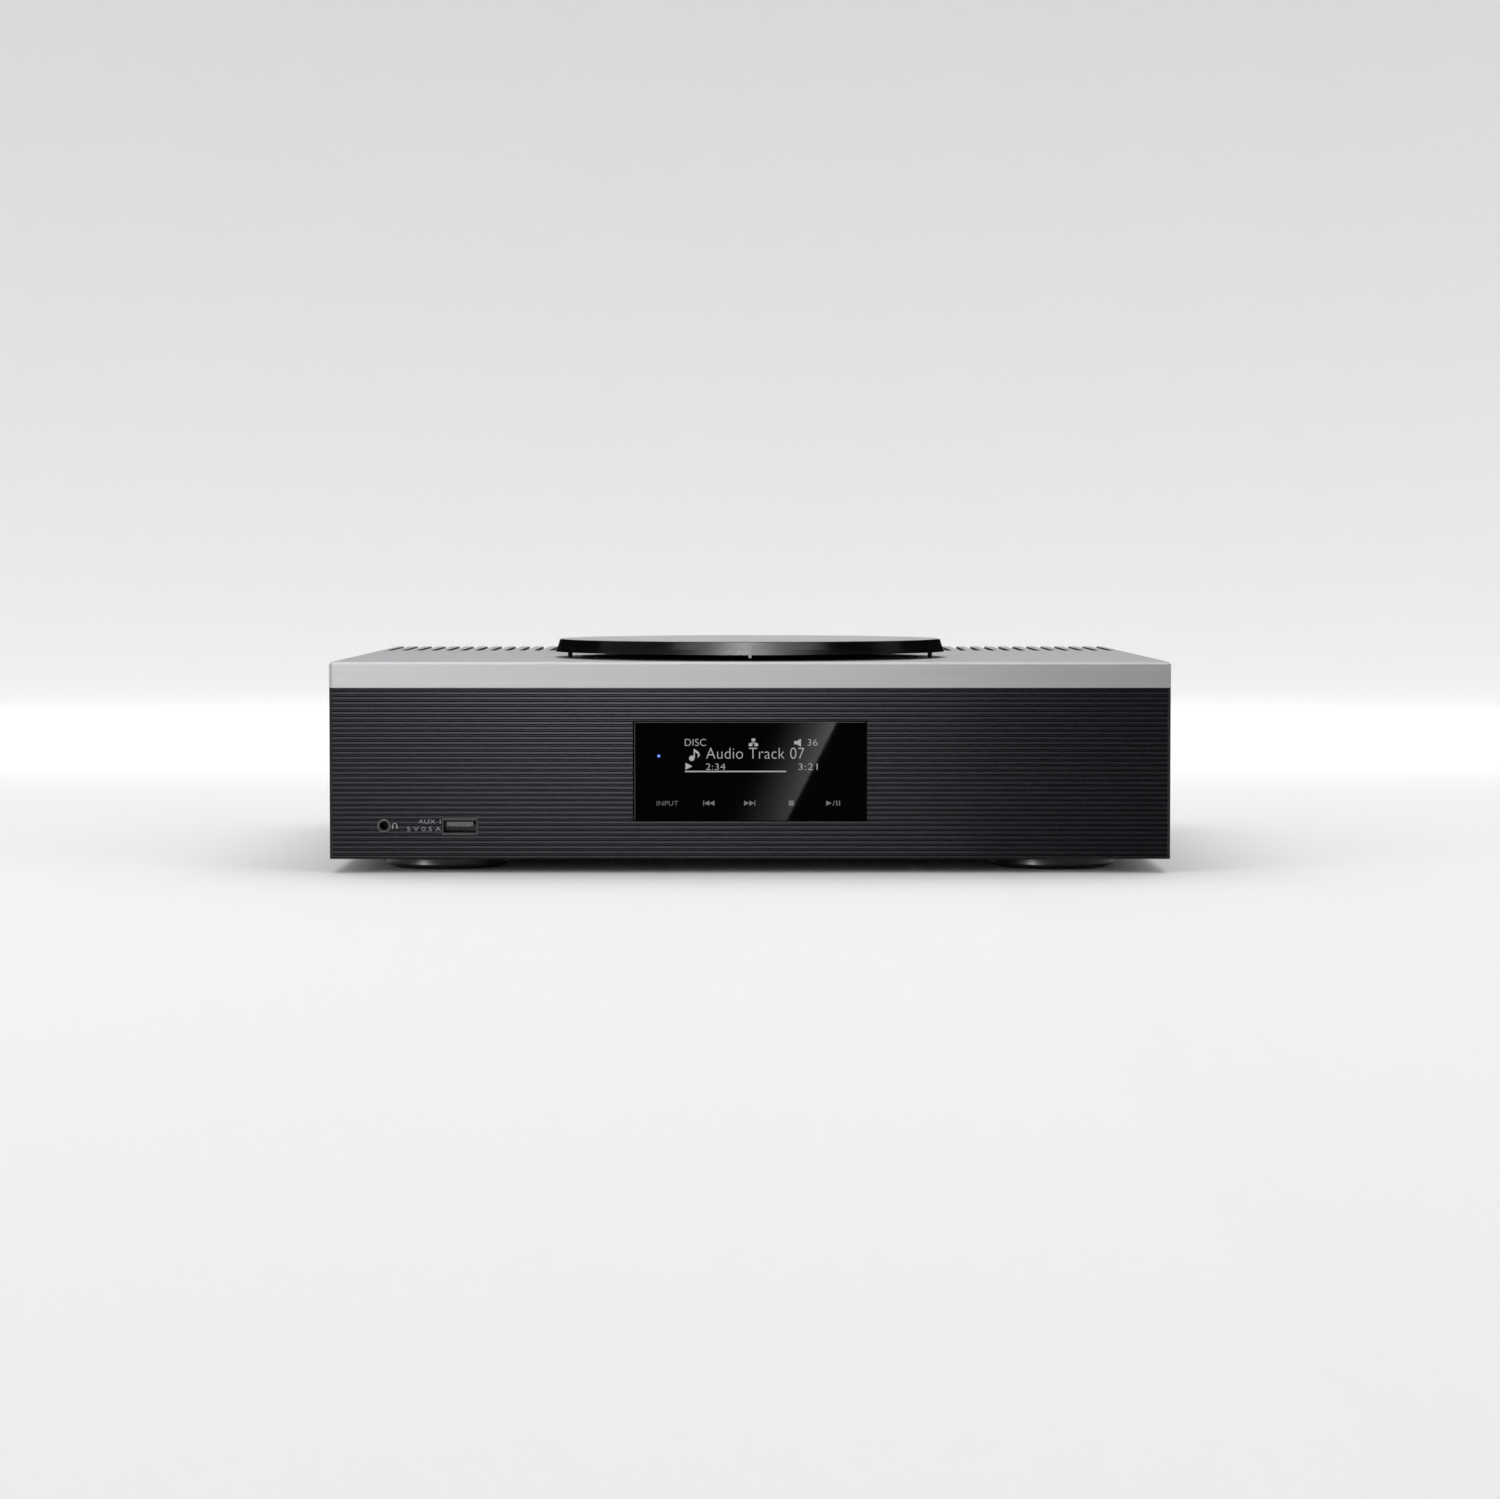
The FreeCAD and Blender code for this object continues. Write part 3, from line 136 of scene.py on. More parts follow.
def grained(name, colour, rough, metal=0.0, grain=900.0, depth=0.00002, spread=0.12, wear=None,
            level=0.5):
    """Base finish: fine grain in bump and roughness, slow colour drift, and paler worn edges."""
    kit = Nodes(name)
    shader = kit.shader
    shader.inputs["Metallic"].default_value = metal
    shader.inputs["Specular IOR Level"].default_value = level
    fine = kit.noise(kit.coords(), grain, 4.0)
    slow = kit.noise(kit.coords(), 14.0, 2.0)
    tint = kit.mix(slow, scaled(colour, 1.0 - spread), scaled(colour, 1.0 + spread))
    if wear is not None:
        rub = kit.add("ShaderNodeMath", operation="MULTIPLY")
        kit.link(kit.edges(), rub.inputs[0])
        kit.link(kit.span(kit.noise(kit.coords(), 160.0, 4.0), 0.45, 0.7, 0.0, 0.8), rub.inputs[1])
        tint = kit.mix(rub.outputs[0], tint, wear)
    kit.link(tint, shader.inputs["Base Color"])
    kit.link(kit.span(fine, 0.3, 0.7, rough * 0.86, min(1.0, rough * 1.16)), shader.inputs["Roughness"])
    kit.link(kit.bump(fine, depth), shader.inputs["Normal"])
    return kit.material


def painted_slot_shade_mask(kit):
    """Mask of painted shade: 1 on the walls of the vent slots, under the top face and inside the skirt's
    faces; else 0.
    """
    parts = kit.add("ShaderNodeSeparateXYZ")
    kit.link(kit.add("ShaderNodeTexCoord").outputs["Object"], parts.inputs["Vector"])
    below = kit.span(parts.outputs["Z"], TOP_Z - 0.30 * MM, TOP_Z - 0.10 * MM, 1.0, 0.0)
    behind = kit.span(parts.outputs["Y"], SLOT_START, SLOT_START + 0.2 * MM, 0.0, 1.0)
    ahead = kit.span(parts.outputs["Y"], REAR_Y - 0.30 * MM, REAR_Y - 0.10 * MM, 1.0, 0.0)
    aside = kit.add("ShaderNodeMath", operation="ABSOLUTE")
    kit.link(parts.outputs["X"], aside.inputs[0])
    inner = kit.span(aside.outputs[0], cover_high.x - 1.8 * MM, cover_high.x - 1.6 * MM, 1.0, 0.0)
    inside = below
    for limit in (behind, ahead, inner):
        product = kit.add("ShaderNodeMath", operation="MULTIPLY")
        kit.link(inside, product.inputs[0])
        kit.link(limit, product.inputs[1])
        inside = product.outputs[0]
    return inside


def brushed(name, colour, rough, direction, depth=0.000012, slots=False):
    """Brushed metal whose hairlines run along X, Y or Z; with slots, painted shade darkens the inside of
    the vent slots.
    """
    stretch = [1.0, 1.0, 1.0]
    stretch["XYZ".index(direction)] = 0.012
    kit = Nodes(name)
    shader = kit.shader
    shader.inputs["Metallic"].default_value = 1.0
    vector = kit.coords(tuple(stretch))
    hair = kit.noise(vector, 4200.0, 3.0, 0.65)
    band = kit.noise(vector, 700.0, 3.0, 0.6)
    slow = kit.noise(kit.coords(), 9.0, 2.0)
    tint = kit.mix(slow, scaled(colour, 0.965), scaled(colour, 1.02))
    lines = kit.mix(kit.span(band, 0.35, 0.65, 0.0, 1.0), scaled(colour, 0.93), scaled(colour, 1.03))
    tone = kit.mix(0.5, tint, lines)
    if slots:
        # painted shade: the vent slots' inner walls are coloured near-black in place of their shade
        tone = kit.mix(painted_slot_shade_mask(kit), tone, SLOT_PAINTED_SHADE)
    kit.link(tone, shader.inputs["Base Color"])
    kit.link(kit.span(hair, 0.3, 0.7, rough * 0.85, rough * 1.2), shader.inputs["Roughness"])
    kit.link(kit.bump(hair, depth), shader.inputs["Normal"])
    return kit.material


def glossy(name, colour, rough, scratch=0.000002, level=0.5, coat=0.0):
    """Polished plastic or glass with faint hairline scratches and a slightly uneven polish."""
    kit = Nodes(name)
    shader = kit.shader
    shader.inputs["Specular IOR Level"].default_value = level
    shader.inputs["Coat Weight"].default_value = coat
    first = kit.noise(kit.coords((1, 0.03, 1), (0, 0, 0.5)), 900.0, 2.0)
    second = kit.noise(kit.coords((0.03, 1, 1), (0, 0, -0.3)), 700.0, 2.0)
    both = kit.add("ShaderNodeMath", operation="MULTIPLY")
    kit.link(first, both.inputs[0])
    kit.link(second, both.inputs[1])
    slow = kit.noise(kit.coords(), 22.0, 2.0)
    kit.link(kit.mix(slow, scaled(colour, 0.9), scaled(colour, 1.1)), shader.inputs["Base Color"])
    kit.link(kit.span(slow, 0.3, 0.7, rough * 0.96, rough * 1.05), shader.inputs["Roughness"])
    kit.link(kit.bump(both.outputs[0], scratch, 0.5), shader.inputs["Normal"])
    return kit.material


def glowing(name, colour, strength):
    """Lit mark behind the window, with the slight unevenness of a dot display."""
    kit = Nodes(name)
    shader = kit.shader
    shader.inputs["Roughness"].default_value = 0.4
    dots = kit.noise(kit.coords(), 2600.0, 1.0)
    tone = kit.mix(dots, scaled(colour, 0.82), scaled(colour, 1.0))
    shader.inputs["Base Color"].default_value = (0.01, 0.01, 0.012, 1.0)
    kit.link(tone, shader.inputs["Emission Color"])
    shader.inputs["Emission Strength"].default_value = strength
    return kit.material


def board_green(name):
    """Circuit board: solder mask over a maze of copper tracks."""
    kit = Nodes(name)
    cells = kit.add("ShaderNodeTexBrick", offset=0.37, squash=0.6)
    cells.inputs["Scale"].default_value = 130.0
    cells.inputs["Mortar Size"].default_value = 0.035
    cells.inputs["Color1"].default_value = (0.008, 0.05, 0.022, 1.0)
    cells.inputs["Color2"].default_value = (0.012, 0.062, 0.028, 1.0)
    cells.inputs["Mortar"].default_value = (0.03, 0.13, 0.06, 1.0)
    kit.link(kit.coords(), cells.inputs["Vector"])
    kit.link(cells.outputs["Color"], kit.shader.inputs["Base Color"])
    fine = kit.noise(kit.coords(), 500.0)
    kit.link(kit.span(fine, 0.3, 0.7, 0.28, 0.42), kit.shader.inputs["Roughness"])
    kit.link(kit.bump(cells.outputs["Fac"], 0.00003, 0.6), kit.shader.inputs["Normal"])
    return kit.material


def ribbed(name, colour, rough):
    """Dull black moulding with a very fine grain; its grooves get painted shade, darker in colour and
    reflection than its crests.
    """
    kit = Nodes(name)
    shader = kit.shader
    place = kit.add("ShaderNodeTexCoord")
    parts = kit.add("ShaderNodeSeparateXYZ")
    kit.link(place.outputs["Object"], parts.inputs["Vector"])
    # painted shade: the deeper a point lies behind the crests, the darker its colour and its reflection
    depth = kit.span(parts.outputs["Y"], CREST_Y + 0.02 * MM, CREST_Y + 0.30 * MM, 0.0, 1.0)
    fine = kit.noise(kit.coords(), 1500.0, 3.0)
    slow = kit.noise(kit.coords(), 12.0, 2.0)
    tint = kit.mix(slow, scaled(colour, 0.94), scaled(colour, 1.06))
    kit.link(kit.mix(depth, tint, scaled(colour, 0.6)), shader.inputs["Base Color"])
    kit.link(kit.mix(depth, (1.0, 0.97, 1.06), (0.66, 0.64, 0.69)), shader.inputs["Specular Tint"])
    kit.link(kit.span(fine, 0.3, 0.7, rough * 0.9, rough * 1.1), shader.inputs["Roughness"])
    shader.inputs["Specular IOR Level"].default_value = 0.27
    kit.link(kit.bump(fine, 0.000001), shader.inputs["Normal"])
    return kit.material


def striped(name, first, second, period, rough):
    """Stripes across X: a ribbon cable's conductors or a wound coil."""
    kit = Nodes(name)
    wave = kit.add("ShaderNodeTexWave", wave_type="BANDS", bands_direction="X")
    wave.inputs["Scale"].default_value = 1.0 / period / 3.14
    wave.inputs["Distortion"].default_value = 0.2
    kit.link(kit.coords(), wave.inputs["Vector"])
    lines = kit.span(wave.outputs["Fac"], 0.45, 0.6, 0.0, 1.0)
    kit.link(kit.mix(lines, first, second), kit.shader.inputs["Base Color"])
    fine = kit.noise(kit.coords(), 700.0)
    kit.link(kit.span(fine, 0.3, 0.7, rough * 0.85, rough * 1.15), kit.shader.inputs["Roughness"])
    kit.link(kit.bump(lines, 0.00004, 0.5), kit.shader.inputs["Normal"])
    return kit.material


MATERIALS = {
    "cover": brushed("brushed_cover", (0.58, 0.58, 0.592), 0.46, "X", slots=True),
    "panel": ribbed("ribbed_black", (0.0045, 0.0043, 0.0060), 0.25),
    "paint": grained("black_paint", (0.022, 0.022, 0.024), 0.46, grain=2200.0, depth=0.00003, spread=0.06),
    "zinc": grained("zinc_sheet", (0.52, 0.53, 0.54), 0.36, metal=1.0, grain=240.0, depth=0.000008),
    "screw": grained("black_oxide", (0.025, 0.025, 0.027), 0.34, metal=0.6, grain=1800.0,
                     wear=(0.25, 0.25, 0.25)),
    "steel": brushed("bright_steel", (0.62, 0.62, 0.63), 0.24, "Z"),
    "foot": glossy("gloss_foot", (0.012, 0.012, 0.014), 0.30, coat=0.0),
    "mark": grained("mark_satin", (0.32, 0.32, 0.325), 0.35, grain=1500.0, depth=0.000002),
    "jack_rim": grained("jack_rim", (0.19, 0.19, 0.195), 0.30, metal=0.8, grain=900.0, depth=0.000003),
    "usb_shell": grained("usb_shell", (0.10, 0.10, 0.104), 0.35, metal=0.9, grain=700.0, depth=0.000004),
    # painted highlight: grey for the thin light lines along the window's upper and left edges
    "painted_edge_highlight": grained("painted_edge_highlight", (0.055, 0.055, 0.058), 0.4, grain=1500.0, depth=0.000002),
    "rubber": grained("black_rubber", (0.018, 0.018, 0.018), 0.78, grain=2600.0, depth=0.00004),
    "window": glossy("window_black", (0.0005, 0.0005, 0.0006), 0.03, level=0.0125),
    "board": board_green("circuit_board"),
    "socket": grained("socket_black", (0.014, 0.014, 0.015), 0.42, grain=2400.0, depth=0.00002),
    "tongue": grained("tongue_grey", (0.13, 0.13, 0.136), 0.42, grain=2400.0, depth=0.00001),
    "lid": glossy("lid_smoked", (0.0030, 0.0030, 0.0036), 0.13, level=0.10),
    "lid_base": grained("lid_base_black", (0.003, 0.003, 0.0036), 0.20, grain=1800.0, depth=0.000002,
                        level=0.12),
    "nickel": grained("magnet_nickel", (0.62, 0.61, 0.60), 0.2, metal=1.0, grain=700.0, depth=0.000004),
    "acetal": grained("black_acetal", (0.02, 0.02, 0.02), 0.4, grain=1500.0, depth=0.00001),
    "well": grained("well_black", (0.012, 0.012, 0.013), 0.5, grain=3000.0, depth=0.00004),
    "lens": glossy("lens_coated", (0.05, 0.03, 0.16), 0.04, coat=1.0, level=0.9),
    "gear": grained("white_acetal", (0.78, 0.77, 0.73), 0.42, grain=1500.0, depth=0.00001),
    "brass": grained("plated_brass", (0.83, 0.66, 0.33), 0.22, metal=1.0, grain=900.0, depth=0.000006),
    "tin": grained("tinned_sheet", (0.6, 0.6, 0.6), 0.3, metal=1.0, grain=320.0, depth=0.00001),
    "fins": brushed("finned_aluminium", (0.62, 0.62, 0.63), 0.38, "Y"),
    "winding": striped("tape_winding", (0.62, 0.46, 0.06), (0.45, 0.32, 0.03), 0.004, 0.4),
    "can": glossy("capacitor_sleeve", (0.012, 0.012, 0.03), 0.25),
    "ribbon": striped("ribbon_film", (0.72, 0.74, 0.78), (0.45, 0.48, 0.52), 0.001, 0.35),
    "cap_black": grained("cap_black", (0.016, 0.016, 0.016), 0.3, grain=1500.0, depth=0.00001),
    "cap_red": grained("cap_red", (0.42, 0.012, 0.010), 0.3, grain=1500.0, depth=0.00001),
    "lit": glowing("display_lit", (0.62, 0.64, 0.66), 0.62),
    "key_lit": glowing("key_lit", (0.60, 0.61, 0.63), 0.25),
    "blue": glowing("standby_blue", (0.04, 0.12, 0.75), 0.9),
    "blue_core": glowing("standby_core", (0.25, 0.45, 1.0), 1.3),
    "print": grained("white_print", (0.34, 0.34, 0.35), 0.55, grain=2400.0, depth=0.000004),
    "gold": grained("gold_contact", (0.9, 0.66, 0.25), 0.22, metal=1.0, grain=1200.0, depth=0.000004),
    "white_ring": grained("white_ring", (0.7, 0.7, 0.68), 0.4, grain=1500.0, depth=0.00001),
    "chrome": grained("polished_ring", (0.55, 0.55, 0.56), 0.16, metal=1.0, grain=900.0, depth=0.000003),
}

NODE_FINISH = {
    "top_cover": "cover", "front_panel": "panel",
    "side_panel_left": "paint", "side_panel_right": "paint", "rear_panel": "paint",
    "bottom_chassis": "zinc", "mechanism_base": "zinc", "lan_jack": "tin", "usb_socket": "usb_shell",
    "case_screws": "screw", "board_screws": "steel", "mechanism_screws": "steel", "guide_rods": "steel",
    "lid_shaft": "steel", "lid_clip": "steel", "spindle_shaft": "steel", "spindle_motor": "steel",
    "feed_motor": "steel", "lid_finger_mark": "mark",
    "feet": "foot", "foot_pads": "rubber", "mechanism_dampers": "rubber", "window_gasket": "rubber",
    "lid_bumpers": "rubber", "display_window": "window",
    "display_module": "board", "touch_board": "board", "front_io_board": "board", "main_board": "board",
    "power_board": "board", "lid_sensor": "board", "standby_led": "blue",
    "headphone_jack": "socket", "mains_inlet": "socket", "optical_jack": "socket",
    "phono_jacks": "brass", "terminal_base": "socket", "usb_tongue": "tongue",
    "lid_cover": "lid", "lid_base": "lid_base", "lid_magnet": "nickel", "pivot_bush": "acetal",
    "pickup_sled": "acetal", "disc_well": "well", "turntable_hub": "well", "objective_lens": "lens",
    "feed_gear": "gear", "feed_pinion": "gear", "board_standoffs": "brass", "speaker_posts": "brass",
    "antenna_socket": "tin", "network_module": "tin", "heat_sink": "fins", "transformer": "winding",
    "smoothing_capacitors": "can", "ribbon_cables": "ribbon",
    "terminal_cap_1": "cap_black", "terminal_cap_2": "cap_red",
    "terminal_cap_3": "cap_black", "terminal_cap_4": "cap_red",
}


def finish_cad_nodes():
    """Gives each CAD node its material; the meshes stay as they are."""
    for name, finish in NODE_FINISH.items():
        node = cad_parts[name]
        node.data.materials.clear()
        node.data.materials.append(MATERIALS[finish])


# ---------------------------------------------------------------- piece building
def piece_from(mesh, name, finish, body="case"):
    """Makes a named piece of a bmesh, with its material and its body."""
    data = bpy.data.meshes.new(name)
    mesh.to_mesh(data)
    mesh.free()
    thing = bpy.data.objects.new(name, data)
    bpy.context.scene.collection.objects.link(thing)
    data.materials.append(MATERIALS[finish])
    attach(thing, body)
    return thing


def smooth(thing, angle=35.0):
    for face in thing.data.polygons:
        face.use_smooth = True
    with bpy.context.temp_override(object=thing, active_object=thing, selected_objects=[thing],
                                   selected_editable_objects=[thing]):
        bpy.ops.object.shade_smooth_by_angle(angle=math.radians(angle))


def turned(profile, centre, axis="Z", segments=96):
    """Solid of revolution from a closed outline of (radius, height) points."""
    mesh = bmesh.new()
    rings = []
    for step in range(segments):
        angle = 2.0 * math.pi * step / segments
        ring = []
        for radius, height in profile:
            across = Vector((radius * math.cos(angle), radius * math.sin(angle), height))
            if axis == "Y":
                across = Vector((across.x, -across.z, across.y))
            ring.append(mesh.verts.new(centre + across))
        rings.append(ring)
    count = len(profile)
    for step in range(segments):
        here, there = rings[step], rings[(step + 1) % segments]
        for index in range(count):
            after = (index + 1) % count
            mesh.faces.new((here[index], there[index], there[after], here[after]))
    bmesh.ops.recalc_face_normals(mesh, faces=mesh.faces)
    return mesh


def slab(mesh, outline, low, high):
    """Adds a flat shape on the front: an outline in X and Z, from y = low to y = high."""
    front = [mesh.verts.new((x, low, z)) for x, z in outline]
    back = [mesh.verts.new((x, high, z)) for x, z in outline]
    mesh.faces.new(front)
    mesh.faces.new(list(reversed(back)))
    count = len(outline)
    for index in range(count):
        after = (index + 1) % count
        mesh.faces.new((front[after], front[index], back[index], back[after]))


def block(x0, x1, z0, z1):
    return [(x0, z0), (x1, z0), (x1, z1), (x0, z1)]


def rounded(x0, x1, z0, z1, radius, steps=5):
    """Outline of a rectangle with round corners."""
    points = []
    corners = ((x1 - radius, z0 + radius, -90), (x1 - radius, z1 - radius, 0),
               (x0 + radius, z1 - radius, 90), (x0 + radius, z0 + radius, 180))
    for cx, cz, start in corners:
        for step in range(steps + 1):
            angle = math.radians(start + 90.0 * step / steps)
            points.append((cx + radius * math.cos(angle), cz + radius * math.sin(angle)))
    return points


def circle(x, z, radius, steps=32, start=0.0, sweep=360.0):
    """Points of a whole circle, or of an arc with both its ends."""
    count = steps if sweep >= 360.0 else steps + 1
    return [(x + radius * math.cos(math.radians(start + sweep * i / steps)),
             z + radius * math.sin(math.radians(start + sweep * i / steps))) for i in range(count)]


def arc_band(x, z, outer, inner, start, sweep, steps=20):
    """Outline of a bent strip between two radii."""
    far = circle(x, z, outer, steps, start, sweep)
    near = circle(x, z, inner, steps, start, sweep)
    return far + list(reversed(near))


MARK_T = 0.05 * MM     # how far a mark stands proud of its face
CAP_SHARE = 0.70       # cap height as a share of the font's size
LETTER_SPACE = 1.04
STROKE_THIN = 0.020    # how much the strokes are thinned, as a share of the cap height


def marks(name, outlines, finish, face_y):
    """Thin lit or printed marks that lie on a front face."""
    mesh = bmesh.new()
    for outline in outlines:
        slab(mesh, outline, face_y - MARK_T, face_y)
    bmesh.ops.recalc_face_normals(mesh, faces=mesh.faces)
    return piece_from(mesh, name, finish, "case")


def lettering(name, words, left, base, cap, finish, face_y, width):
    """Plain generic lettering on a front face, from its left edge, base line, cap height and width."""
    curve = bpy.data.curves.new(name, "FONT")
    curve.body = words
    curve.size = cap / CAP_SHARE
    curve.extrude = MARK_T / 2
    curve.space_character = LETTER_SPACE
    curve.offset = -STROKE_THIN * cap
    thing = bpy.data.objects.new(name, curve)
    bpy.context.scene.collection.objects.link(thing)
    bpy.context.view_layer.update()
    thing.scale = (width / thing.dimensions.x, 1.0, 1.0)
    thing.rotation_euler = (math.pi / 2, 0.0, 0.0)
    thing.location = (left, face_y - MARK_T / 2, base)
    curve.materials.append(MATERIALS[finish])
    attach(thing, "case")
    return thing


# ---------------------------------------------------------------- display
def height(value):
    """Height above the underside of the body, given in millimetres."""
    return BODY_BOTTOM + value * MM


def display_marks():
    """Words and icons of the dot display: source, volume, title, times and progress bar."""
    face = WINDOW_FACE
    lettering("word_source", "DISC", -28.2 * MM, height(48.5), 3.1 * MM, "lit", face, 9.0 * MM)
    lettering("word_volume", "36", 24.3 * MM, height(48.6), 2.9 * MM, "lit", face, 4.2 * MM)
    lettering("word_title", "Audio Track 07", -18.9 * MM, height(43.0), 4.9 * MM, "lit", face,
              42.0 * MM)
    lettering("word_elapsed", "2:34", -19.1 * MM, height(38.2), 2.9 * MM, "lit", face, 8.3 * MM)
    lettering("word_total", "3:21", 20.3 * MM, height(38.2), 2.9 * MM, "lit", face, 8.2 * MM)
    bar = block(-27.8 * MM, 15.5 * MM, height(37.3), height(37.85))
    play = [(-27.6 * MM, height(38.3)), (-24.6 * MM, height(39.8)), (-27.6 * MM, height(41.3))]
    speaker = [(18.9 * MM, height(49.2)), (20.0 * MM, height(49.2)), (21.8 * MM, height(48.2)),
               (21.8 * MM, height(51.6)), (20.0 * MM, height(50.6)), (18.9 * MM, height(50.6))]
    note = [circle(-24.9 * MM, height(43.2), 1.15 * MM),
            block(-24.1 * MM, -23.6 * MM, height(43.3), height(47.2)),
            [(-23.9 * MM, height(47.3)), (-23.9 * MM, height(46.2)), (-22.2 * MM, height(44.9)),
             (-22.4 * MM, height(43.3)), (-21.4 * MM, height(44.6)), (-21.9 * MM, height(45.9))]]
    network = [rounded(0.65 * MM, 2.25 * MM, height(50.5), height(51.7), 0.2 * MM),
               rounded(-0.55 * MM, 1.05 * MM, height(48.4), height(49.6), 0.2 * MM),
               rounded(1.85 * MM, 3.45 * MM, height(48.4), height(49.6), 0.2 * MM),
               block(1.3 * MM, 1.6 * MM, height(49.9), height(50.4)),
               block(0.1 * MM, 2.8 * MM, height(49.65), height(49.9))]
    marks("display_icons", [bar, play, speaker, *note, *network], "lit", face)


KEY_ROW = 24.0       # height of the touch row above the underside
KEY_H = 2.2


def triangle(x0, x1, z, half):
    return [(x0, z - half), (x1, z), (x0, z + half)]


def key_marks():
    """Touch keys are printed marks on the window: they don't travel."""
    face = WINDOW_FACE
    mid = height(KEY_ROW)
    half = KEY_H / 2 * MM
    thin = 0.35 * MM
    lettering("word_input", "INPUT", -40.2 * MM, mid - half, 2.1 * MM, "key_lit", face, 9.2 * MM)
    back = [block(-20.0 * MM, -20.0 * MM + thin, mid - half, mid + half),
            triangle(-17.4 * MM, -19.5 * MM, mid, half), triangle(-15.2 * MM, -17.3 * MM, mid, half)]
    ahead = [block(2.3 * MM - thin, 2.3 * MM, mid - half, mid + half),
             triangle(-2.5 * MM, -0.4 * MM, mid, half), triangle(-0.3 * MM, 1.8 * MM, mid, half)]
    stop = [block(16.6 * MM, 18.8 * MM, mid - half, mid + half)]
    play = [triangle(32.6 * MM, 34.9 * MM, mid, half),
            [(35.3 * MM, mid - half), (35.6 * MM, mid - half),
             (36.4 * MM, mid + half), (36.1 * MM, mid + half)],
            block(36.9 * MM, 37.3 * MM, mid - half, mid + half),
            block(38.1 * MM, 38.5 * MM, mid - half, mid + half)]
    marks("key_icons", back + ahead + stop + play, "key_lit", face)


def painted_window_highlights():
    """Thin grey marks along the window's upper and left edges: painted highlights where the window's edges
    would catch the light.
    """
    left, right = window_low.x + 0.6 * MM, window_high.x - 0.7 * MM
    top, low = window_high.z - 0.45 * MM, window_low.z + 0.5 * MM
    upper = block(left, right, top - 0.28 * MM, top)
    side = block(left, left + 0.22 * MM, low, top - 0.28 * MM)
    marks("window_painted_highlights", [upper, side], "painted_edge_highlight", WINDOW_FACE)


def standby_light():
    low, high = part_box("standby_led")
    x, z = (low.x + high.x) / 2, (low.z + high.z) / 2
    marks("standby_glow", [circle(x, z, 0.72 * MM)], "blue", WINDOW_FACE)
    marks("standby_core", [circle(x, z, 0.38 * MM)], "blue_core", WINDOW_FACE - MARK_T)


# ---------------------------------------------------------------- front sockets
SOCKET_ROW = 14.3     # height of both sockets' middle above the underside
CONTACT = Vector((1.0, 8.0, 0.1)) * MM
CONTACT_PITCH = 2.2 * MM


def front_sockets():
    """The jack's ring, the generic print beside the sockets, and the USB contacts under the tongue."""
    centre = Vector(((jack_low.x + jack_high.x) / 2, jack_low.y, height(SOCKET_ROW)))
    ring = turned([(2.15 * MM, 0.0), (2.3 * MM, 0.22 * MM), (2.6 * MM, 0.26 * MM), (2.75 * MM, 0.12 * MM),
                   (2.75 * MM, -0.3 * MM), (2.15 * MM, -0.3 * MM)], centre, "Y", 64)
    smooth(piece_from(ring, "jack_ring", "jack_rim", "case"))
    icon = height(SOCKET_ROW)
    x = -152.0 * MM
    band = arc_band(x, icon + 0.1 * MM, 1.05 * MM, 0.78 * MM, 0.0, 180.0)
    cups = [rounded(x - 1.25 * MM, x - 0.65 * MM, icon - 1.2 * MM, icon + 0.15 * MM, 0.2 * MM),
            rounded(x + 0.65 * MM, x + 1.25 * MM, icon - 1.2 * MM, icon + 0.15 * MM, 0.2 * MM)]
    marks("headphone_mark", [band] + cups, "print", CREST_Y)
    lettering("word_front_input", "AUX 1", -141.9 * MM, height(15.2), 1.9 * MM, "print", CREST_Y,
              9.4 * MM)
    lettering("word_supply", "5 V 0.5 A", -147.0 * MM, height(12.0), 1.9 * MM, "print", CREST_Y,
              14.5 * MM)
    contacts = bmesh.new()
    middle = (tongue_low.x + tongue_high.x) / 2
    for number in range(4):
        x = middle + (number - 1.5) * CONTACT_PITCH
        low = Vector((x - CONTACT.x / 2, tongue_low.y + 0.6 * MM, tongue_low.z - 0.09 * MM))
        place = Matrix.Translation(low + CONTACT / 2)
        bmesh.ops.create_cube(contacts, size=1.0, matrix=place @ Matrix.Diagonal((*CONTACT, 1.0)))
    piece_from(contacts, "usb_contacts", "gold", "case")


# ---------------------------------------------------------------- hub details
BALL_RING_R = 6.95 * MM


def disc_details():
    """The grip ring, three locking balls and bright cap of the turntable hub."""
    axis = Vector(((hub_low.x + hub_high.x) / 2, (hub_low.y + hub_high.y) / 2, 0.0))
    seat = hub_high.z - 3.0 * MM
    pad = turned([(9.2 * MM, seat), (14.2 * MM, seat), (14.2 * MM, seat + 0.12 * MM),
                  (9.2 * MM, seat + 0.12 * MM)], axis, "Z", 96)
    piece_from(pad, "hub_grip_ring", "rubber", "spindle")
    for number in range(3):
        angle = math.radians(90 + 120 * number)
        ball = bmesh.new()
        place = axis + Vector((BALL_RING_R * math.cos(angle), BALL_RING_R * math.sin(angle),
                               seat + 1.2 * MM))
        bmesh.ops.create_uvsphere(ball, u_segments=24, v_segments=16, radius=0.8 * MM,
                                  matrix=Matrix.Translation(place))
        smooth(piece_from(ball, "hub_ball_" + str(number + 1), "steel", "spindle"))
    top = hub_high.z
    cap = turned([(0.0, top + 0.02 * MM), (0.0, top + 0.25 * MM), (2.4 * MM, top + 0.2 * MM),
                  (2.8 * MM, top + 0.02 * MM)], axis, "Z", 64)
    bmesh.ops.remove_doubles(cap, verts=cap.verts, dist=1e-7)
    smooth(piece_from(cap, "hub_cap", "chrome", "spindle"))


# ---------------------------------------------------------------- rear details
PHONO_X = (24, 42)         # columns and rows of the phono sockets, in millimetres
PHONO_ROWS = ((28, "cap_red"), (42, "white_ring"))
INLET_Z = 30.0 * MM
INLET_PIN_X = 4.3 * MM     # each mains pin to the inlet's middle


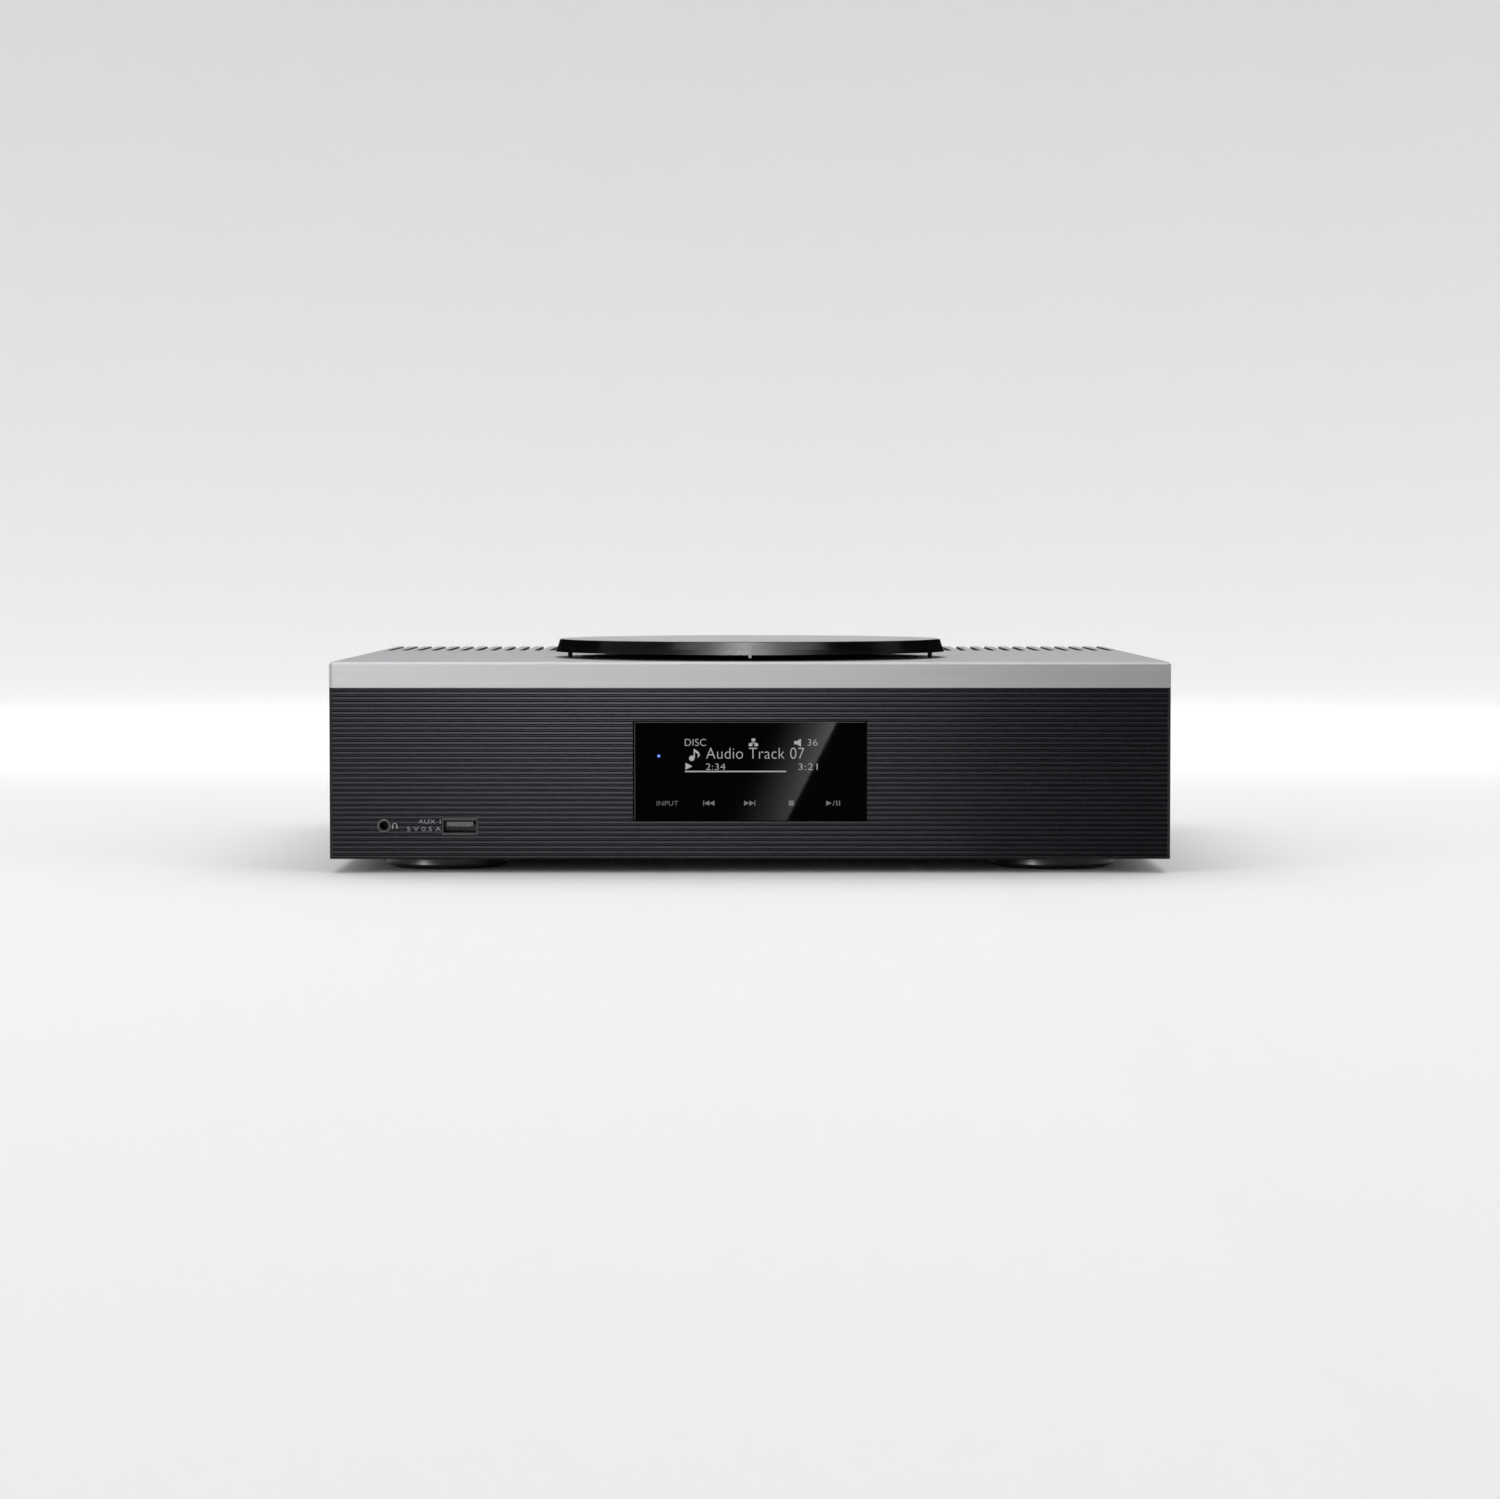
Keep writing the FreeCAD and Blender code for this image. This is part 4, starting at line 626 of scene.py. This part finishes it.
def rear_details():
    """Coloured collars on the phono sockets and bright sleeves on the mains pins."""
    face = phono_high.y
    sockets = [(x, z, finish) for x in PHONO_X for z, finish in PHONO_ROWS]
    for number, (x, z, finish) in enumerate(sockets):
        centre = Vector((x * MM, face, z * MM))
        collar = turned([(1.9 * MM, 0.2 * MM), (1.9 * MM, -0.12 * MM), (3.2 * MM, -0.12 * MM),
                         (3.2 * MM, 0.2 * MM)], centre, "Y", 48)
        smooth(piece_from(collar, "phono_collar_" + str(number + 1), finish, "case"))
    for side in (-1, 1):
        x = (inlet_low.x + inlet_high.x) / 2 + side * INLET_PIN_X
        sleeve = turned([(1.22 * MM, 0.0), (1.22 * MM, 8.5 * MM), (1.3 * MM, 8.5 * MM), (1.3 * MM, 0.0)],
                        Vector((x, inlet_high.y - 3.5 * MM, INLET_Z)), "Y", 32)
        piece_from(sleeve, "inlet_pin_" + ("left" if side < 0 else "right"), "chrome", "case")


# ---------------------------------------------------------------- stage, light and camera
def stage_surface(name, colour, rough):
    kit = Nodes(name)
    slow = kit.noise(kit.coords(), 1.2, 2.0)
    kit.link(kit.mix(slow, scaled(colour, 0.99), colour), kit.shader.inputs["Base Color"])
    kit.shader.inputs["Roughness"].default_value = rough
    kit.shader.inputs["Specular IOR Level"].default_value = 0.1
    return kit.material


def new_stage_piece(name, mesh, material):
    data = bpy.data.meshes.new(name)
    mesh.to_mesh(data)
    mesh.free()
    thing = bpy.data.objects.new(name, data)
    bpy.context.scene.collection.objects.link(thing)
    data.materials.append(material)
    return thing


SWEEP_FLAT = 2.3       # radius of the floor's flat part
SWEEP_BEND = 2.0       # radius of the bend from floor to wall
SWEEP_TOP = 4.6        # top of the wall
BEND_STEPS = 24


def backdrop():
    """A pale floor that sweeps up into a wall all round, like a seamless studio bowl."""
    profile = [(0.0, 0.0), (SWEEP_FLAT * 0.25, 0.0), (SWEEP_FLAT * 0.6, 0.0), (SWEEP_FLAT, 0.0)]
    for step in range(1, BEND_STEPS + 1):
        angle = math.pi / 2 * step / BEND_STEPS
        profile.append((SWEEP_FLAT + SWEEP_BEND * math.sin(angle), SWEEP_BEND * (1 - math.cos(angle))))
    profile.append((SWEEP_FLAT + SWEEP_BEND, SWEEP_TOP))
    mesh = bmesh.new()
    segments = 128
    centre = mesh.verts.new((0.0, 0.0, 0.0))
    rings = []
    for radius, z in profile[1:]:
        rings.append([mesh.verts.new((radius * math.cos(2 * math.pi * s / segments),
                                      radius * math.sin(2 * math.pi * s / segments), z))
                      for s in range(segments)])
    for s in range(segments):
        mesh.faces.new((centre, rings[0][s], rings[0][(s + 1) % segments]))
    for near, far in zip(rings, rings[1:]):
        for s in range(segments):
            after = (s + 1) % segments
            mesh.faces.new((near[s], far[s], far[after], near[after]))
    sweep = new_stage_piece("studio_sweep", mesh, stage_surface("studio_white", (0.86, 0.86, 0.86), 0.9))
    for face in sweep.data.polygons:
        face.use_smooth = True


def softbox(name, place, target, size, power):
    """A rectangular lamp at a place, turned to its target, that the camera does not see."""
    light = bpy.data.lights.new(name, "AREA")
    light.shape = "RECTANGLE"
    light.size, light.size_y = size
    light.energy = power
    thing = bpy.data.objects.new(name, light)
    bpy.context.scene.collection.objects.link(thing)
    thing.location = place
    way = Vector(target) - Vector(place)
    thing.rotation_euler = way.to_track_quat("-Z", "Y").to_euler()
    thing.visible_camera = False
    return thing


def card(name, corners, material):
    """A studio card or flag that only shows in reflections."""
    mesh = bmesh.new()
    mesh.faces.new([mesh.verts.new(corner) for corner in corners])
    thing = new_stage_piece(name, mesh, material)
    thing.visible_camera = False
    thing.visible_diffuse = False
    thing.visible_shadow = False
    thing.visible_transmission = False
    thing.visible_volume_scatter = False
    return thing


def flag_black():
    kit = Nodes("flag_black")
    slow = kit.noise(kit.coords(), 3.0, 2.0)
    kit.link(kit.mix(slow, (0.004, 0.004, 0.004), (0.008, 0.008, 0.008)), kit.shader.inputs["Base Color"])
    kit.shader.inputs["Roughness"].default_value = 0.95
    kit.shader.inputs["Specular IOR Level"].default_value = 0.0
    return kit.material


class Glow(Nodes):
    """Material of a card that only adds light: what lies behind it still shows through."""

    def __init__(self, name):
        super().__init__(name)
        self.emission = self.add("ShaderNodeEmission")
        both = self.add("ShaderNodeAddShader")
        self.link(self.emission.outputs[0], both.inputs[0])
        self.link(self.add("ShaderNodeBsdfTransparent").outputs[0], both.inputs[1])
        self.link(both.outputs[0], self.tree.nodes["Material Output"].inputs["Surface"])
        parts = self.add("ShaderNodeSeparateXYZ")
        self.link(self.add("ShaderNodeTexCoord").outputs["Object"], parts.inputs["Vector"])
        self.x, self.z = parts.outputs["X"], parts.outputs["Z"]

    def math(self, operation, first, second):
        node = self.add("ShaderNodeMath", operation=operation)
        for socket, value in zip(node.inputs, (first, second)):
            if isinstance(value, (int, float)):
                socket.default_value = value
            else:
                self.link(value, socket)
        return node.outputs[0]

    def shine(self, value):
        self.link(value, self.emission.inputs["Strength"])
        return self.material


def side_fading_glow(name, centre, reach, strength, power=1.6):
    """Glow that is full at x = centre and fades to nothing at reach on both sides."""
    kit = Glow(name)
    away = kit.math("ABSOLUTE", kit.math("SUBTRACT", kit.x, centre), 0.0)
    left = kit.span(away, 0.0, reach, 1.0, 0.0)
    return kit.shine(kit.math("MULTIPLY", kit.math("POWER", left, power), strength))


def slanted_glow(name, x_low, z_low, x_high, z_high, reach, strength):
    """Glow that ends at a slanted line, fading away to its left and downwards."""
    kit = Glow(name)
    slope = (x_high - x_low) / (z_high - z_low)
    edge = kit.math("MULTIPLY", kit.math("SUBTRACT", kit.z, z_low), slope)
    inside = kit.span(kit.math("SUBTRACT", kit.x, edge), x_low - reach, x_low, 0.0, 1.0)
    lift = kit.span(kit.z, z_low, z_high, 0.45, 1.0)
    soft = kit.math("MULTIPLY", kit.math("POWER", inside, 2.5), lift)
    return kit.shine(kit.math("MULTIPLY", soft, strength))


def light_only(thing, names):
    """Lets a light or a glowing card reach the named nodes only."""
    wanted = bpy.data.collections.new(thing.name + "_reach")
    for name in names:
        wanted.objects.link(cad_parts[name])
    thing.light_linking.receiver_collection = wanted


FAR_FLAG_Y = -2.75         # front flags, seen in the right half of the front
NEAR_FLAG_Y = -2.3
FLAG_FLOOR_Z = 0.003       # the floor flag lies just over the floor
BACK_SPOTS = (             # corners of the back flags: x, y, lower edge
    (-2.3, 0.5, 0.15), (-1.5, 2.2, 0.15), (-0.42, 2.3, 0.50),
    (0.42, 2.3, 0.15), (1.5, 2.2, 0.15), (2.3, 0.5, 0.15))
BACK_TOP = 1.25
WINDOW_CARD_AHEAD = 0.265  # the window's card stands this far before the window
WINDOW_CARD_REACH = 34 * MM
PANEL_CARD_X = -0.13
PANEL_CARD_Y = -2.5
PANEL_CARD_REACH = 0.36


def reflection_cards():
    """Black flags and glowing cards that only show as reflections on the object."""
    black = flag_black()
    card("flag_wall", [(0.15, FAR_FLAG_Y, 0.0), (2.9, NEAR_FLAG_Y, 0.0), (2.9, NEAR_FLAG_Y, 2.2),
                       (0.15, FAR_FLAG_Y, 2.2)], black)
    card("flag_floor", [(0.08, FAR_FLAG_Y, FLAG_FLOOR_Z), (2.4, NEAR_FLAG_Y, FLAG_FLOOR_Z),
                        (2.4, -0.185, FLAG_FLOOR_Z), (0.10, -0.185, FLAG_FLOOR_Z)], black)
    card("flag_over", [(0.12, NEAR_FLAG_Y, 1.3), (2.6, NEAR_FLAG_Y, 1.3), (2.6, -0.25, 1.3),
                       (0.14, -0.25, 1.3)], black)
    for number, (here, there) in enumerate(zip(BACK_SPOTS, BACK_SPOTS[1:])):
        low = here[2]
        card("flag_back_" + str(number + 1), [(*here[:2], low), (*there[:2], low), (*there[:2], BACK_TOP),
                                              (*here[:2], BACK_TOP)], black)
    y = window_low.y - WINDOW_CARD_AHEAD
    right_top, right_low = 42.9 * MM, 17.7 * MM
    z_top, z_low = 55.3 * MM, 5.6 * MM
    reach = WINDOW_CARD_REACH
    corners = [(right_low - reach, y, z_low), (right_low, y, z_low), (right_top, y, z_top),
               (right_top - reach, y, z_top)]
    glow = slanted_glow("window_card", right_low, z_low, right_top, z_top, reach, WINDOW_CARD)
    light_only(card("window_card", corners, glow), ["display_window"])
    lid_parts = ["lid_cover", "lid_base"]
    near, far, low, high = -1.40, -1.62, 1.06, 1.32
    for name, centre, reach, strength in (("rim_core", -0.12, 0.75, RIM_CORE),
                                          ("rim_spread", 0.0, 2.6, RIM_SPREAD)):
        corners = [(centre - reach, far, low), (centre + reach, far, low), (centre + reach, near, high),
                   (centre - reach, near, high)]
        light_only(card(name, corners, side_fading_glow(name, centre, reach, strength)), lid_parts)
    y, reach, centre = PANEL_CARD_Y, PANEL_CARD_REACH, PANEL_CARD_X
    corners = [(centre - reach, y, 0.004), (centre + reach, y, 0.004), (centre + reach, y, 0.9),
               (centre - reach, y, 0.9)]
    light_only(card("panel_card", corners, side_fading_glow("panel_card", centre, reach, PANEL_CARD)),
               ["front_panel"])


# Strengths: lamps in watts, cards as emission strength.
WORLD = 0.58
TOP_BOX = 43.0
WALL_BOX = 14.8
LEFT_BOX = 17.5
FILL_BOX = 7.0
RIM_CORE = 46.0
RIM_SPREAD = 20.0
FOOT_STRIP = 260.0
PANEL_CARD = 21.0
WINDOW_CARD = 84.0
BAND_BOX = 7.0
SIDE_STRIP = 2.6


def lighting():
    """Plain soft studio light; some lamps reach named nodes only, or leave out gloss or diffuse light."""
    world = bpy.data.worlds.new("studio_air")
    bpy.context.scene.world = world
    bpy.context.scene.view_settings.view_transform = "Standard"
    world.use_nodes = True
    air = world.node_tree.nodes["Background"]
    air.inputs["Color"].default_value = (0.98, 0.99, 1.0, 1.0)
    air.inputs["Strength"].default_value = WORLD
    softbox("top_box", (0.0, 0.75, 2.4), (0.0, 0.1, 0.0), (3.8, 3.0), TOP_BOX)
    wall = softbox("wall_box", (0.0, 0.9, 1.15), (0.0, 3.8, 0.0), (3.4, 0.7), WALL_BOX)
    wall.visible_glossy = False
    left = softbox("left_box", (-1.25, -2.6, 0.9), (0.0, -0.1, 0.05), (1.8, 1.5), LEFT_BOX)
    left.visible_diffuse = False
    light_only(left, ["top_cover"])
    for name, x in (("fill_left", -1.7), ("fill_right", 1.7)):
        fill = softbox(name, (x, -1.75, 0.95), (0.0, -0.75, 0.0), (1.4, 1.2), FILL_BOX)
        fill.visible_glossy = False
    for name, x in (("side_left", -1.4), ("side_right", 1.4)):
        strip = softbox(name, (x, -0.9, 0.40), (0.0, -0.2, 0.0), (1.0, 0.6), SIDE_STRIP)
        strip.visible_glossy = False
    band = softbox("band_box", (1.2, -2.5, 0.6), (0.1, -0.1, 0.09), (0.9, 0.9), BAND_BOX)
    band.visible_diffuse = False
    light_only(band, ["top_cover"])
    low_strip = softbox("foot_strip", (-2.0, -2.3, 0.45), (-0.1, -0.1, 0.02), (0.35, 0.9), FOOT_STRIP)
    low_strip.visible_diffuse = False
    light_only(low_strip, ["feet"])


CAMERA_DISTANCE = 1.765      # from the front face
CAMERA_HEIGHT = 0.1319       # above the floor
LENS_MM = 99.19
SENSOR_MM = 36.0
PITCH = math.radians(2.56)


def camera():
    """The view of the photograph: from just above the lid, looking slightly down."""
    data = bpy.data.cameras.new("view_camera")
    data.lens = LENS_MM
    data.sensor_width = SENSOR_MM
    data.clip_start = 0.05
    data.clip_end = 100.0
    thing = bpy.data.objects.new("view_camera", data)
    bpy.context.scene.collection.objects.link(thing)
    thing.location = (0.0, FRONT_Y - CAMERA_DISTANCE, CAMERA_HEIGHT)
    thing.rotation_euler = (math.pi / 2 - PITCH, 0.0, 0.0)
    bpy.context.scene.camera = thing


finish_cad_nodes()
display_marks()
key_marks()
painted_window_highlights()
standby_light()
front_sockets()
disc_details()
rear_details()
backdrop()
reflection_cards()
lighting()
camera()
